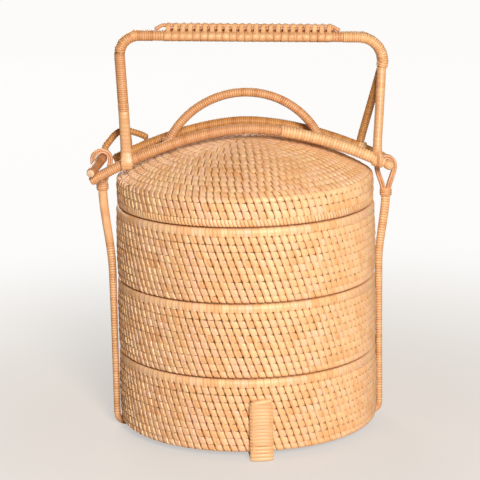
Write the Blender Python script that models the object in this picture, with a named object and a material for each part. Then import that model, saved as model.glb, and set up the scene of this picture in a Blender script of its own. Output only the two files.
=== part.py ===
"""Three-tier rattan carrying basket with a hinged bail handle.

Three coiled trays and a domed lid stand on two crossed runners. Two side posts rise from
the runners and end in loops. A yoke of two arched bars carries the bail handle, hangs on
a pin through the right loop, and is locked at the left by a hooked cane peg.
Metres, +Z up, origin on the ground under the middle of the stack, front at -Y.
"""
import math

import bmesh
import bpy
from mathutils import Vector

for old in list(bpy.data.objects):
    bpy.data.objects.remove(old, do_unlink=True)

# Fits between pieces
seat_gap = 0.0003
nest_clearance = 0.0006

# Trays, bottom one first
tier_names = ("bottom_tray", "middle_tray", "top_tray")
tray_radius = 0.1224
tier_taper = 0.00045
coil_pitch = 0.00677
wall_rows = 9
coil_groove = 0.0013
coil_row_shares = (0, 0.26, 0.74)
wall_thickness = 0.0070
wall_bow = 0.0012
foot_round = 0.0035
rim_height = 0.0078
rim_proud = 0.0001
rim_inset = 0.0002
floor_thickness = 0.0060
floor_clearance = 0.0007
collar_thickness = 0.0032
collar_depth = 0.0150
collar_rise = 0.0055

# Lid
lid_inset = 0.0015
lid_side_height = 0.0310
lid_shoulder = 0.0045
lid_rows = 3
dome_rows = 17
dome_rise = 0.0305
dome_thickness = 0.0060
dome_drop = 0.0008
arch_radius = 0.0788
arch_rod = 0.0080
arch_rise = 0.0421
arch_seat_lift = 0.0030
arch_lashing_width = 0.0034
arch_lashing_wall = 0.0017
arch_lashing_lift = 0.0065

# Runners and posts
runner_thickness = 0.0060
runner_bend = 0.0078
band_width = 0.0212
stub_top = 0.0570
stub_round = 0.0044
stub_binding_low = 0.0140
stub_binding_high = 0.0530
binding_wall = 0.00055
wall_clearance = 0.0009
post_clearance = 0.0013
post_lean_start = 0.1500
post_foot_width = 0.0056
post_foot_depth = 0.0096
post_top_proud = 0.0005
tail_band_clearance = 0.0034
tail_rise_run = 0.0360
lashing_length = 0.0140
lashing_wall = 0.0010

# Post loops
loop_rod = 0.0046
loop_reach = 0.0083
loop_height = 0.0355
loop_strand_gap = 0.0003
loop_tray_clearance = 0.0004
post_collar_height = 0.0090
post_collar_overlap = 0.0050
post_collar_wall = 0.0008

# Yoke bars and hinge pin
bar_clearance = 0.0067
bar_rod = 0.0092
bar_rod_thick = 0.0106
bar_thick_from = 0.0320
bar_thick_run = 0.0030
bar_spread = 0.0220
bar_drop = 0.03865
bar_curve_share = 1.75
bar_left_overhang = 0.0115
bar_back_shortfall = 0.0115
bar_past_pin = 0.0032
bar_end_round = 0.0030
pin_rod = 0.0064
pin_drop = 0.0021

# Bail handle, placed in from the posts and up from the bars' crown
bail_rod = 0.0066
bail_binding_wall = 0.0009
bail_left_rise = 0.0865
bail_right_rise = 0.0792
bail_left_fork_rise = 0.0137
bail_right_fork_rise = 0.0477
bail_left_leg_in = 0.0197
bail_right_leg_in = 0.0027
bail_left_fork_in = 0.0220
bail_right_fork_in = 0.0043
bail_left_foot_in_front = 0.0225
bail_left_foot_in_back = 0.0255
bail_right_foot_in_front = 0.0113
bail_right_foot_in_back = 0.0199
bail_left_corner = 0.0170
bail_right_corner = 0.0230
foot_lashing_width = 0.0090
foot_lashing_wall = 0.0016
grip_left_in = 0.0505
grip_right_in = 0.0405
grip_binding_wall = 0.0004
rail_rod = 0.0026
rail_lift = 0.0094
rail_end_run = 0.0080
lace_rod = 0.0016
lace_pitch = 0.0070

# Locking peg: the straight front runs down and forward from the loop
peg_front_rod = 0.0078
peg_rod = 0.0088
peg_end_round = 0.0015
peg_front_out = 0.0115
peg_front_reach = 0.0360
peg_front_drop = 0.0073
peg_straight_back = 0.0038
peg_play = 0.0007
peg_inward = 0.0003
peg_tail_rod = 0.0046
peg_tail_end_rod = 0.0036
peg_tail_wall = 0.0005
peg_tail_run = 0.0432
peg_tail_rise = 0.0216
peg_hook_clearance = 0.0023
peg_tail_run_shares = (0.06, 0.19, 0.32, 0.49, 0.68, 0.87, 1.0)
peg_tail_depth_shares = (0.22, 0.44, 0.58, 0.72, 0.83, 0.94, 1.0)
peg_tail_rise_shares = (0.375, 0.667, 0.898, 1.0, 0.875, 0.713, 0.546)

# Mesh counts
round_segments = 36
section_steps = 4
rod_sides = 8

# Heights that follow from the pieces
stack_base = runner_thickness + seat_gap
wall_height = wall_rows * coil_pitch
tray_height = wall_height + seat_gap + rim_height
tier_pitch = tray_height + seat_gap
floor_recess = runner_thickness + seat_gap + lashing_wall + floor_clearance
lid_base = stack_base + len(tier_names) * tier_pitch
lid_radius = tray_radius - (len(tier_names) - 1) * tier_taper - lid_inset
dome_base = lid_base + lid_side_height - dome_drop
dome_edge_radius = lid_radius - wall_thickness - seat_gap
dome_sphere = (dome_edge_radius ** 2 + dome_rise ** 2) / (2 * dome_rise)
dome_top = dome_base + dome_rise
bar_crown = dome_top + bar_clearance + bar_rod / 2
strand_spacing = loop_rod + loop_strand_gap
post_foot_x = tray_radius + rim_proud + post_clearance + post_foot_width / 2
post_top_x = tray_radius + rim_proud + loop_tray_clearance + loop_reach + loop_rod / 2
peg_x = -post_top_x + peg_inward
bail_half_spacing = (bail_rod + seat_gap) / 2

# Colours as (red, green, blue) in linear light
rattan_pale = (0.78, 0.52, 0.28)
rattan_mid = (0.66, 0.40, 0.19)
rattan_dark = (0.46, 0.24, 0.10)


# Scene structure: one empty for each body, at its joint

def add_empty(name, place, parent=None):
    empty = bpy.data.objects.new(name, None)
    bpy.context.collection.objects.link(empty)
    empty["place"] = place
    if parent is None:
        empty.location = place
    else:
        empty.parent = parent
        empty.location = Vector(place) - Vector(parent["place"])
    return empty


def add_material(name, colour, roughness):
    material = bpy.data.materials.new(name)
    material.use_nodes = True
    shader = material.node_tree.nodes["Principled BSDF"]
    shader.inputs["Base Color"].default_value = (*colour, 1.0)
    shader.inputs["Roughness"].default_value = roughness
    shader.inputs["Metallic"].default_value = 0.0
    return material


def add_object(name, mesh_builder, body, colour, roughness=0.55):
    """Turn a finished bmesh, in world coordinates, into an object that hangs on a body."""
    bmesh.ops.recalc_face_normals(mesh_builder, faces=mesh_builder.faces)
    bmesh.ops.translate(mesh_builder, vec=-Vector(body["place"]), verts=mesh_builder.verts)
    mesh = bpy.data.meshes.new(name)
    mesh_builder.to_mesh(mesh)
    mesh_builder.free()
    mesh.shade_smooth()
    mesh.set_sharp_from_angle(angle=math.radians(40))
    mesh.materials.append(add_material(name, colour, roughness))
    thing = bpy.data.objects.new(name, mesh)
    bpy.context.collection.objects.link(thing)
    thing.parent = body
    return thing


# Shapes

def turned(profile, base_height):
    """Spin a closed profile of (radius, height) points; radius zero is on the axis."""
    builder = bmesh.new()
    rings = []
    for radius, height in profile:
        if radius == 0:
            rings.append([builder.verts.new((0, 0, base_height + height))] * round_segments)
            continue
        ring = []
        for step in range(round_segments):
            angle = 2 * math.pi * step / round_segments
            ring.append(builder.verts.new((radius * math.cos(angle), radius * math.sin(angle),
                                           base_height + height)))
        rings.append(ring)
    count = len(rings)
    for index in range(count):
        low, high = rings[index], rings[(index + 1) % count]
        for step in range(round_segments):
            after = (step + 1) % round_segments
            corners = [low[step], low[after], high[after], high[step]]
            face = list(dict.fromkeys(corners))
            if len(face) > 2:
                builder.faces.new(face)
    return builder


def flat_oval(half_across, half_deep):
    """Outline with two round ends and two flat sides, as (across, deep) points."""
    radius = min(half_across, half_deep)
    count = 4 * section_steps
    turn = 2 * math.pi / count
    reach = radius / math.cos(turn / 2)
    outline = []
    for index in range(count):
        angle = (index + 0.5) * turn
        across = reach * math.cos(angle)
        deep = reach * math.sin(angle)
        across += math.copysign(half_across - radius, across)
        deep += math.copysign(half_deep - radius, deep)
        outline.append((across, deep))
    return outline


def round_outline(radius, sides=rod_sides):
    """Regular polygon with the same area as the round section it stands for."""
    turn = 2 * math.pi / sides
    reach = radius * math.sqrt(turn / math.sin(turn))
    outline = []
    for index in range(sides):
        angle = (index + 0.5) * turn
        outline.append((reach * math.cos(angle), reach * math.sin(angle)))
    return outline


def path_frames(points, side):
    """Tangent-following (across, deep) axes; deep stays as near to side as it can."""
    frames = []
    deep = Vector(side)
    last = len(points) - 1
    for index in range(len(points)):
        tangent = points[min(index + 1, last)] - points[max(index - 1, 0)]
        tangent.normalize()
        deep = (deep - tangent * deep.dot(tangent)).normalized()
        frames.append((tangent.cross(deep), deep))
    return frames


def section_rings(builder, points, outlines, side, first=0):
    rings = []
    frames = path_frames(points, side)
    for point, outline, (across, deep) in list(zip(points, outlines, frames))[first:]:
        rings.append([builder.verts.new(point + across * a + deep * d) for a, d in outline])
    return rings


def bridge(builder, ring_a, ring_b):
    count = len(ring_a)
    for index in range(count):
        after = (index + 1) % count
        builder.faces.new((ring_a[index], ring_a[after], ring_b[after], ring_b[index]))


def swept(points, outlines, side=(0, 1, 0)):
    """Solid rod: outlines carried along a path, with filled ends."""
    builder = bmesh.new()
    rings = section_rings(builder, points, outlines, side)
    for ring_a, ring_b in zip(rings, rings[1:]):
        bridge(builder, ring_a, ring_b)
    builder.faces.new(rings[0])
    builder.faces.new(rings[-1])
    return builder


def sleeve(points, inner_outlines, outer_outlines, side=(0, 1, 0), first=0):
    """Hollow binding: an inner and an outer skin along a path, joined at both ends."""
    builder = bmesh.new()
    inner = section_rings(builder, points, inner_outlines, side, first)
    outer = section_rings(builder, points, outer_outlines, side, first)
    for rings in (inner, outer):
        for ring_a, ring_b in zip(rings, rings[1:]):
            bridge(builder, ring_a, ring_b)
    bridge(builder, inner[0], outer[0])
    bridge(builder, inner[-1], outer[-1])
    return builder


def smooth_path(keys, steps):
    """Catmull-Rom curve through the key points, with this many steps for each span."""
    keys = [Vector(key) for key in keys]
    ends = [2 * keys[0] - keys[1]] + keys + [2 * keys[-1] - keys[-2]]
    points = []
    for index in range(1, len(keys)):
        before, start, stop, after = ends[index - 1:index + 3]
        for step in range(steps):
            share = step / steps
            points.append(0.5 * (2 * start + (stop - before) * share
                                 + (2 * before - 5 * start + 4 * stop - after) * share ** 2
                                 + (3 * start - before - 3 * stop + after) * share ** 3))
    points.append(keys[-1])
    return points


def bend(centre, radius, start_degrees, stop_degrees, steps):
    """Arc in the XZ plane, angles measured from +X towards +Z."""
    points = []
    for step in range(steps + 1):
        angle = math.radians(start_degrees + (stop_degrees - start_degrees) * step / steps)
        points.append(Vector((centre[0] + radius * math.cos(angle), 0,
                              centre[1] + radius * math.sin(angle))))
    return points


def blend(low, high, share):
    share = min(1, max(0, share))
    return low + (high - low) * share * share * (3 - 2 * share)


# Coiled trays

def tier_radius(tier):
    return tray_radius - tier_taper * tier


def inner_radius_above(tier):
    """Inner wall radius of the piece that stands on this tier."""
    above = lid_radius if tier + 1 == len(tier_names) else tier_radius(tier + 1)
    return above - wall_thickness


def coil_rows(rows):
    """(place in rows, depth) of the outline of this many coils, after the first one's foot."""
    outline = [(coil_row_shares[-1], 0)]
    for row in range(1, rows):
        outline.append((row, coil_groove))
        outline += [(row + share, 0) for share in coil_row_shares[1:]]
    return outline


def foot_profile(edge_radius):
    """Rounded lower edge of the first coil."""
    profile = []
    for step in range(3):
        angle = math.pi / 4 * step
        profile.append((edge_radius - foot_round + foot_round * math.sin(angle),
                        foot_round - foot_round * math.cos(angle)))
    return profile


def coiled_wall(outer_radius, height):
    """Coil rows that bow between a rounded foot and the top, with a plain inner face."""
    edge = outer_radius - wall_bow
    profile = [(outer_radius - wall_thickness, height), (outer_radius - wall_thickness, 0)]
    profile += foot_profile(edge)
    for place, depth in coil_rows(wall_rows) + [(wall_rows, coil_groove)]:
        bow = wall_bow * (1 - (2 * place / wall_rows - 1) ** 4)
        profile.append((edge + bow - depth, height * place / wall_rows))
    return profile


def make_tray(tier, name, body):
    base = stack_base + tier * tier_pitch
    outer = tier_radius(tier)
    inner = outer - wall_thickness
    add_object(name + "_wall", turned(coiled_wall(outer, wall_height), base), body, rattan_pale)

    floor_edge = inner - seat_gap
    floor_top = floor_recess + floor_thickness
    floor_profile = [(0, floor_recess), (floor_edge, floor_recess),
                     (floor_edge, floor_top), (0, floor_top)]
    add_object(name + "_floor", turned(floor_profile, base), body, rattan_mid)

    rim_width = wall_thickness + rim_proud - rim_inset
    rim_centre = outer + rim_proud - rim_width / 2
    rim_middle = wall_height + seat_gap + rim_height / 2
    rim_profile = []
    for step in range(6):
        angle = math.pi * step / 3
        rim_profile.append((rim_centre + rim_width / 2 * math.cos(angle),
                            rim_middle + rim_height / 2 * math.sin(angle) / math.sin(math.pi / 3)))
    add_object(name + "_rim", turned(rim_profile, base), body, rattan_pale)

    low_radius = inner - seat_gap
    high_radius = inner_radius_above(tier) - nest_clearance
    collar_inside = high_radius - collar_thickness
    collar_low = tray_height - collar_depth
    collar_top = tray_height + collar_rise
    collar_profile = [(collar_inside, collar_top), (collar_inside, collar_low),
                      (low_radius, collar_low), (low_radius, wall_height),
                      (high_radius, tray_height), (high_radius, collar_top)]
    add_object(name + "_collar", turned(collar_profile, base), body, rattan_mid)


# Domed lid and its arch handle

def dome_height(radius):
    return dome_top - dome_sphere + math.sqrt(dome_sphere ** 2 - radius ** 2)


def make_lid_side(body):
    profile = [(lid_radius - wall_thickness, lid_side_height - dome_drop),
               (lid_radius - wall_thickness, 0)]
    profile += foot_profile(lid_radius)
    row_height = (lid_side_height - 2 * lid_shoulder) / lid_rows
    for place, depth in coil_rows(lid_rows) + [(lid_rows, coil_groove)]:
        profile.append((lid_radius - depth, row_height * place))
    for step in range(-1, 4):
        angle = math.pi / 6 * step
        profile.append((lid_radius - lid_shoulder + lid_shoulder * math.cos(angle),
                        lid_side_height - lid_shoulder + lid_shoulder * math.sin(angle)))
    add_object("lid_side", turned(profile, lid_base), body, rattan_pale)


def make_lid_dome(body):
    half_angle = math.asin(dome_edge_radius / dome_sphere)
    profile = [(0, dome_top)]
    for place, depth in coil_rows(dome_rows)[:-1]:
        angle = half_angle * place / dome_rows
        sphere = dome_sphere - depth
        profile.append((sphere * math.sin(angle), dome_top - dome_sphere + sphere * math.cos(angle)))
    profile.append((dome_edge_radius, dome_base))
    inner_sphere = dome_sphere - dome_thickness
    for share in (1, 0.8, 0.6, 0.4, 0.2, 0):
        radius = dome_edge_radius * share
        profile.append((radius, dome_top - dome_sphere + math.sqrt(inner_sphere ** 2 - radius ** 2)))
    add_object("lid_dome", turned(profile, 0), body, rattan_pale)


def arch_centre_height():
    return dome_top + arch_rise - arch_radius


def arch_point(angle):
    return Vector((arch_radius * math.sin(angle), 0,
                   arch_centre_height() + arch_radius * math.cos(angle)))


def arch_angle_at_lift(lift):
    """Angle from the top at which the arch's middle line is this far above the dome."""
    low, high = 0.0, math.pi / 2
    for _ in range(40):
        middle = (low + high) / 2
        point = arch_point(middle)
        if point.z - dome_height(point.x) > lift:
            low = middle
        else:
            high = middle
    return low


def make_lid_arch(body):
    steps = 18
    foot = arch_angle_at_lift(arch_seat_lift)
    points = [arch_point(foot * (2 * step / steps - 1)) for step in range(steps + 1)]
    outline = round_outline(arch_rod / 2)
    add_object("lid_arch_handle", swept(points, [outline] * len(points)), body, rattan_mid)

    lashing_angle = arch_angle_at_lift(arch_lashing_lift)
    for side_name, sign in (("left", -1), ("right", 1)):
        angle = sign * lashing_angle
        half = sign * arch_lashing_width / 2 / arch_radius
        points = [arch_point(angle - half), arch_point(angle), arch_point(angle + half)]
        inside = round_outline(arch_rod / 2 + nest_clearance)
        outside = round_outline(arch_rod / 2 + nest_clearance + arch_lashing_wall)
        add_object(side_name + "_arch_lashing", sleeve(points, [inside] * 3, [outside] * 3),
                   body, rattan_dark)


# Runners, stubs and posts

def turned_to_y(points):
    """Swap a path from the XZ plane into the YZ plane, with +X becoming -Y."""
    return [Vector((0, -point.x, point.z)) for point in points]


def band_centre_y():
    return tray_radius + wall_clearance + runner_thickness / 2


def make_front_back_runner(body):
    half = runner_thickness / 2
    upright = band_centre_y()
    corner = bend((upright - runner_bend, half + runner_bend), runner_bend, -90, 0, 4)
    top = [Vector((upright, 0, stub_top - stub_round)), Vector((upright, 0, stub_top))]
    low = Vector((upright, 0, stub_binding_low))
    side = [Vector((upright - 2 * runner_bend, 0, half))] + corner + [low] + top
    mirrored = [Vector((-point.x, 0, point.z)) for point in reversed(side)]
    points = turned_to_y(mirrored + side)
    full = flat_oval(half, band_width / 2)
    slim_half = half - binding_wall - seat_gap
    slim_width = band_width / 2 - binding_wall - seat_gap
    slim = flat_oval(slim_half, slim_width)
    narrow = flat_oval(slim_half, slim_width - slim_half)
    plain = [full] * 5 + [slim, slim, slim, narrow]
    outlines = list(reversed(plain)) + plain
    add_object("front_back_runner", swept(points, outlines, (1, 0, 0)), body, rattan_mid)

    inner = flat_oval(slim_half + seat_gap, slim_width + seat_gap)
    outer = flat_oval(slim_half + seat_gap + binding_wall, band_width / 2)
    for side_name, sign in (("front", 1), ("back", -1)):
        points = []
        for height in (stub_binding_low + seat_gap, (stub_binding_low + stub_binding_high) / 2,
                       stub_binding_high):
            points.append(Vector((0, -sign * upright, height)))
        add_object(side_name + "_stub_binding",
                   sleeve(points, [inner] * 3, [outer] * 3, (1, 0, 0)), body, rattan_pale)


def post_line(top_x, loop_top):
    """Middle line of the right post from its top, down, and under the basket to the middle."""
    half = runner_thickness / 2
    split = loop_top - loop_height
    top_step = (split - post_lean_start) / 5
    points = []
    for step in range(5):
        height = split - top_step * step
        lean = blend(0, 1, (height - post_lean_start) / (split - post_lean_start))
        points.append(Vector((post_foot_x + (top_x - post_foot_x) * lean, 0, height)))
    for share in (1.0, 0.8, 0.6, 0.45, 0.2):
        points.append(Vector((post_foot_x, 0, post_lean_start * share)))
    corner = bend((post_foot_x - runner_bend, half + runner_bend), runner_bend, 0, -90, 4)
    raised = half + runner_thickness + seat_gap
    high_x = band_width / 2 + tail_band_clearance
    points += corner
    points.append(Vector((post_foot_x - 3 * runner_bend, 0, half)))
    for step in range(6):
        share = step / 5
        points.append(Vector((high_x + tail_rise_run * (1 - share), 0, blend(half, raised, share))))
    points.append(Vector((seat_gap / 2, 0, raised)))
    return points


def post_section(point):
    """A pair of strands bound together: side by side at the loop, turned a quarter by the foot."""
    top_half = (strand_spacing + loop_rod) / 2
    top_depth = loop_rod + 2 * post_top_proud
    share = (point.z - post_lean_start / 2) / post_lean_start
    across = blend(post_foot_width / 2, top_half, share)
    deep = blend(post_foot_depth / 2, top_depth / 2, share)
    if point.x < post_foot_x - runner_bend * 0.5 and point.z < post_lean_start / 2:
        across = runner_thickness / 2
    return flat_oval(across, deep)


def loop_line(top_x, loop_top):
    """Middle line of the right loop, from one strand's foot round to the other's."""
    centre_height = loop_top - loop_rod / 2 - loop_reach
    foot = loop_top - loop_height + nest_clearance
    inward = strand_spacing / 2
    lower = [(inward, foot)]
    low = foot + loop_rod / 2
    for step in range(6):
        share = step / 6
        reach = blend(inward, loop_reach, share)
        lower.append((reach, low + (centre_height - low) * share))
    points = [Vector((top_x + reach, 0, height)) for reach, height in lower]
    points += bend((top_x, centre_height), loop_reach, 0, 180, 10)
    points += [Vector((top_x - reach, 0, height)) for reach, height in reversed(lower)]
    return points


def mirror_x(points, sign):
    return [Vector((sign * point.x, point.y, point.z)) for point in points]


def make_post(side_name, sign, top_x, loop_top, body):
    right = post_line(top_x, loop_top)
    outlines = [post_section(point) for point in right]
    add_object(side_name + "_post", swept(mirror_x(right, sign), outlines), body, rattan_mid)

    points = mirror_x(loop_line(top_x, loop_top), sign)
    outline = round_outline(loop_rod / 2)
    add_object(side_name + "_loop", swept(points, [outline] * len(points)), body, rattan_mid)

    split = loop_top - loop_height
    points = []
    for share in (0, 0.5, 1):
        height = split - post_collar_overlap + post_collar_height * share
        points.append(Vector((sign * top_x, 0, height)))
    half_across = strand_spacing / 2 + loop_rod / 2 + nest_clearance
    half_deep = loop_rod / 2 + post_top_proud + nest_clearance
    inner = flat_oval(half_across, half_deep)
    outer = flat_oval(half_across + post_collar_wall, half_deep + post_collar_wall)
    add_object(side_name + "_post_collar", sleeve(points, [inner] * 3, [outer] * 3), body,
               rattan_dark)


def make_crossing_lashing(body):
    """Cane saddle over the posts' tails, standing on the front-back runner."""
    inside = post_foot_depth / 2 + seat_gap
    outside = inside + lashing_wall
    foot = runner_thickness + seat_gap
    under = foot + runner_thickness + seat_gap
    over = under + lashing_wall
    outline = [(-outside, foot), (-outside, over), (outside, over), (outside, foot),
               (inside, foot), (inside, under), (-inside, under), (-inside, foot)]
    builder = bmesh.new()
    rings = []
    for sign in (-1, 1):
        rings.append([builder.verts.new((sign * lashing_length / 2, deep, height))
                      for deep, height in outline])
    bridge(builder, rings[0], rings[1])
    builder.faces.new(rings[0])
    builder.faces.new(rings[1])
    add_object("crossing_lashing", builder, body, rattan_dark)


# Yoke bars and hinge pin

def bar_height(x):
    return bar_crown - bar_drop * (abs(x) / post_top_x) ** bar_curve_share


def bar_slope(x):
    rise = bar_height(x + bar_end_round) - bar_height(x - bar_end_round)
    return rise / (2 * bar_end_round)


def bar_radius(x, thickened):
    thin, thick = bar_rod / 2, bar_rod_thick / 2
    if not thickened:
        return thin
    return blend(thin, thick, (x - bar_thick_from) / bar_thick_run)


def make_bar(name, y, left_end, thickened, body):
    stations = [-left_end, -left_end + bar_end_round]
    steps = 14
    right_end = post_top_x + bar_past_pin
    first, last = -left_end + 2 * bar_end_round, right_end - 2 * bar_end_round
    stations += [first + (last - first) * step / steps for step in range(steps + 1)]
    if thickened:
        stations += [bar_thick_from, bar_thick_from + bar_thick_run]
    stations += [right_end - bar_end_round, right_end]
    stations.sort()
    points = [Vector((x, y, bar_height(x))) for x in stations]
    radii = [bar_radius(x, thickened) for x in stations]
    radii[0] -= bar_end_round / 2
    radii[-1] -= bar_end_round / 2
    outlines = [round_outline(radius) for radius in radii]
    add_object(name, swept(points, outlines), body, rattan_mid)


def pin_height():
    return bar_height(post_top_x) - pin_drop


def right_loop_top():
    return pin_height() + pin_rod / 2 + nest_clearance + loop_rod


def make_hinge_pin(body):
    front = -bar_spread + bar_rod_thick / 2 + seat_gap
    back = bar_spread - bar_rod / 2 - seat_gap
    points = [Vector((post_top_x, y, pin_height())) for y in (front, back)]
    outline = round_outline(pin_rod / 2, 2 * rod_sides)
    add_object("hinge_pin", swept(points, [outline] * 2, (0, 0, 1)), body, rattan_dark)


# Bail handle

def foot_place(x, y, thickened):
    """Middle of a strand's end, just clear of the lashing round the sloping bar."""
    slope = bar_slope(x)
    upright = bar_radius(x, thickened) + foot_lashing_wall + 2 * nest_clearance + seat_gap
    lift = upright * math.sqrt(1 + slope ** 2) + abs(slope) * bail_rod / 2
    return Vector((x, y, bar_height(x) + lift))


def bail_crown_line(y):
    """Handle above its forks: left leg, corner, crossbar, corner, right leg."""
    left_leg = -post_top_x + bail_left_leg_in
    right_leg = post_top_x - bail_right_leg_in
    left_centre = (left_leg + bail_left_corner, bar_crown + bail_left_rise - bail_left_corner)
    right_centre = (right_leg - bail_right_corner,
                    bar_crown + bail_right_rise - bail_right_corner)
    points = [Vector((-post_top_x + bail_left_fork_in, 0, bar_crown + bail_left_fork_rise))]
    points += bend(left_centre, bail_left_corner, 180, 90, 5)
    points += bend(right_centre, bail_right_corner, 90, 0, 5)
    points.append(Vector((post_top_x - bail_right_fork_in, 0,
                          bar_crown + bail_right_fork_rise)))
    return [Vector((point.x, y, point.z)) for point in points]


def strand_to_foot(fork, foot):
    """Strand below a fork, from near the fork down to its foot on a bar."""
    return smooth_path([fork, (fork + foot) / 2, foot], 2)[1:]


def make_bail_rod(name, sign, left_foot, right_foot, thickened, body):
    y = sign * bar_spread
    crown = bail_crown_line(sign * bail_half_spacing)
    left = strand_to_foot(crown[0], foot_place(left_foot, y, thickened))
    right = strand_to_foot(crown[-1], foot_place(right_foot, y, thickened))
    points = list(reversed(left)) + crown + right
    outline = round_outline(bail_rod / 2)
    add_object(name, swept(points, [outline] * len(points)), body, rattan_mid)


def bail_sleeve(name, points, wall, body, colour):
    half_across = bail_rod / 2 + nest_clearance
    half_deep = bail_half_spacing + bail_rod / 2 + nest_clearance
    inner = flat_oval(half_across, half_deep)
    outer = flat_oval(half_across + wall, half_deep + wall)
    count = len(points)
    add_object(name, sleeve(points, [inner] * count, [outer] * count), body, colour)


def grip_ends():
    return -post_top_x + grip_left_in, post_top_x - grip_right_in


def cut_at_x(line, x):
    """Point where the crossbar line passes this x."""
    for start, stop in zip(line, line[1:]):
        if start.x <= x < stop.x:
            return start + (stop - start) * ((x - start.x) / (stop.x - start.x))
    return line[-1]


def make_bail_bindings(body):
    line = bail_crown_line(0)
    for end, inner in ((0, 1), (-1, -2)):
        line[end] += (line[inner] - line[end]).normalized() * bail_rod / 2
    grip_start, grip_stop = grip_ends()
    left_cut, right_cut = cut_at_x(line, grip_start), cut_at_x(line, grip_stop)
    gap = Vector((seat_gap / 2, 0, 0))
    left = [point for point in line if point.x < grip_start - bail_rod]
    right = [point for point in line if point.x > grip_stop + bail_rod]
    bail_sleeve("left_leg_binding", left + [left_cut - gap], bail_binding_wall, body, rattan_mid)
    bail_sleeve("right_leg_binding", [right_cut + gap] + right, bail_binding_wall, body,
                rattan_mid)
    bail_sleeve("grip_binding", [left_cut + gap, right_cut - gap], grip_binding_wall, body,
                rattan_pale)


def make_grip_rail(body):
    line = bail_crown_line(0)
    bar_face = bail_rod / 2 + nest_clearance + grip_binding_wall
    seat = bar_face + seat_gap + rail_rod / 2
    grip_start, grip_stop = grip_ends()
    rail_start, rail_stop = grip_start + rail_rod, grip_stop - rail_rod
    places = [(rail_start, seat), (rail_start + rail_end_run, rail_lift)]
    run = rail_stop - rail_start - 2 * rail_end_run
    for step in range(1, 6):
        places.append((places[1][0] + run * step / 6, rail_lift))
    places += [(rail_stop - rail_end_run, rail_lift), (rail_stop, seat)]
    points = []
    for x, lift in places:
        points.append(cut_at_x(line, x) + Vector((0, 0, lift)))
    outline = round_outline(rail_rod / 2, 6)
    add_object("grip_rail", swept(points, [outline] * len(points)), body, rattan_mid)

    low = bar_face + seat_gap + lace_rod / 2
    high = rail_lift - rail_rod / 2 - seat_gap - lace_rod / 2
    start = grip_start + 2 * rail_end_run
    stop = grip_stop - 2 * rail_end_run
    turns = int((stop - start) / lace_pitch)
    points = []
    for step in range(4 * turns + 1):
        x = start + (stop - start) * step / (4 * turns)
        lift = (low + high) / 2 + (high - low) / 2 * math.cos(math.pi / 2 * step)
        points.append(cut_at_x(line, x) + Vector((0, 0, lift)))
    outline = round_outline(lace_rod / 2, 4)
    add_object("grip_lacing", swept(points, [outline] * len(points)), body, rattan_pale)


def make_foot_lashing(name, x, y, thickened, body):
    radius = bar_radius(x, thickened)
    points = []
    for share in (-0.5, 0, 0.5):
        station = x + foot_lashing_width * share
        points.append(Vector((station, y, bar_height(station))))
    inner = round_outline(radius + nest_clearance)
    outer = round_outline(radius + nest_clearance + foot_lashing_wall)
    add_object(name, sleeve(points, [inner] * 3, [outer] * 3), body, rattan_pale)


# Hooked locking peg

def peg_height():
    """Height at the loop from which the peg just clears the front bar that it lies across."""
    share = bar_spread / peg_front_reach
    x = peg_x - peg_front_out * share
    front_way = Vector((peg_front_out, peg_front_reach, peg_front_drop))
    across = Vector((1, 0, bar_slope(x))).cross(front_way)
    peg_there = peg_rod + (peg_front_rod - peg_rod) * share
    apart = (bar_rod + peg_there) / 2 + seat_gap
    return bar_height(x) + apart * across.length / abs(across.z) + peg_front_drop * share


def peg_place():
    return Vector((peg_x, 0, peg_height()))


def left_loop_top():
    return peg_height() - peg_play + loop_reach + loop_rod / 2


def peg_tail(bent):
    """Path from the bend up behind the bail's strand and down behind the back bar."""
    hooked = bar_spread + (bar_rod + peg_tail_end_rod) / 2 + peg_tail_wall + peg_hook_clearance
    places = [bent]
    for run, depth, rise in zip(peg_tail_run_shares, peg_tail_depth_shares,
                                peg_tail_rise_shares):
        places.append(Vector((bent.x + peg_tail_run * run,
                              bent.y + (hooked - bent.y) * depth,
                              bent.z + peg_tail_rise * rise)))
    return smooth_path(places, 2)


def make_peg(body):
    """Bare straight front, then a bound tail that rises and hooks behind the back bar."""
    middle = peg_place()
    front_way = Vector((-peg_front_out, -peg_front_reach, -peg_front_drop))
    front = middle + front_way
    bent = middle - front_way.normalized() * peg_straight_back
    tail = peg_tail(bent)
    points = [front, front - front_way.normalized() * peg_end_round, middle] + tail
    radii = [peg_front_rod / 2 - peg_end_round / 2, peg_front_rod / 2, peg_rod / 2, peg_rod / 2]
    bound_from = 5
    thin = len(points) - 1 - bound_from
    for index in range(4, len(points)):
        if index < bound_from:
            radii.append((peg_rod + peg_tail_rod) / 4)
            continue
        share = (index - bound_from) / thin
        radii.append(peg_tail_rod / 2 + (peg_tail_end_rod - peg_tail_rod) / 2 * share)
    outlines = [round_outline(radius) for radius in radii]
    add_object("locking_peg", swept(points, outlines), body, rattan_dark)

    inner = [round_outline(radius + seat_gap) for radius in radii]
    outer = [round_outline(radius + seat_gap + peg_tail_wall) for radius in radii]
    add_object("peg_tail_binding", sleeve(points, inner, outer, first=bound_from), body,
               rattan_dark)


# Assembly

def build_frame():
    frame = add_empty("carrying_frame_body", (0, 0, 0))
    make_front_back_runner(frame)
    make_post("left", -1, post_top_x, left_loop_top(), frame)
    make_post("right", 1, post_top_x, right_loop_top(), frame)
    make_crossing_lashing(frame)
    return frame


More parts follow.
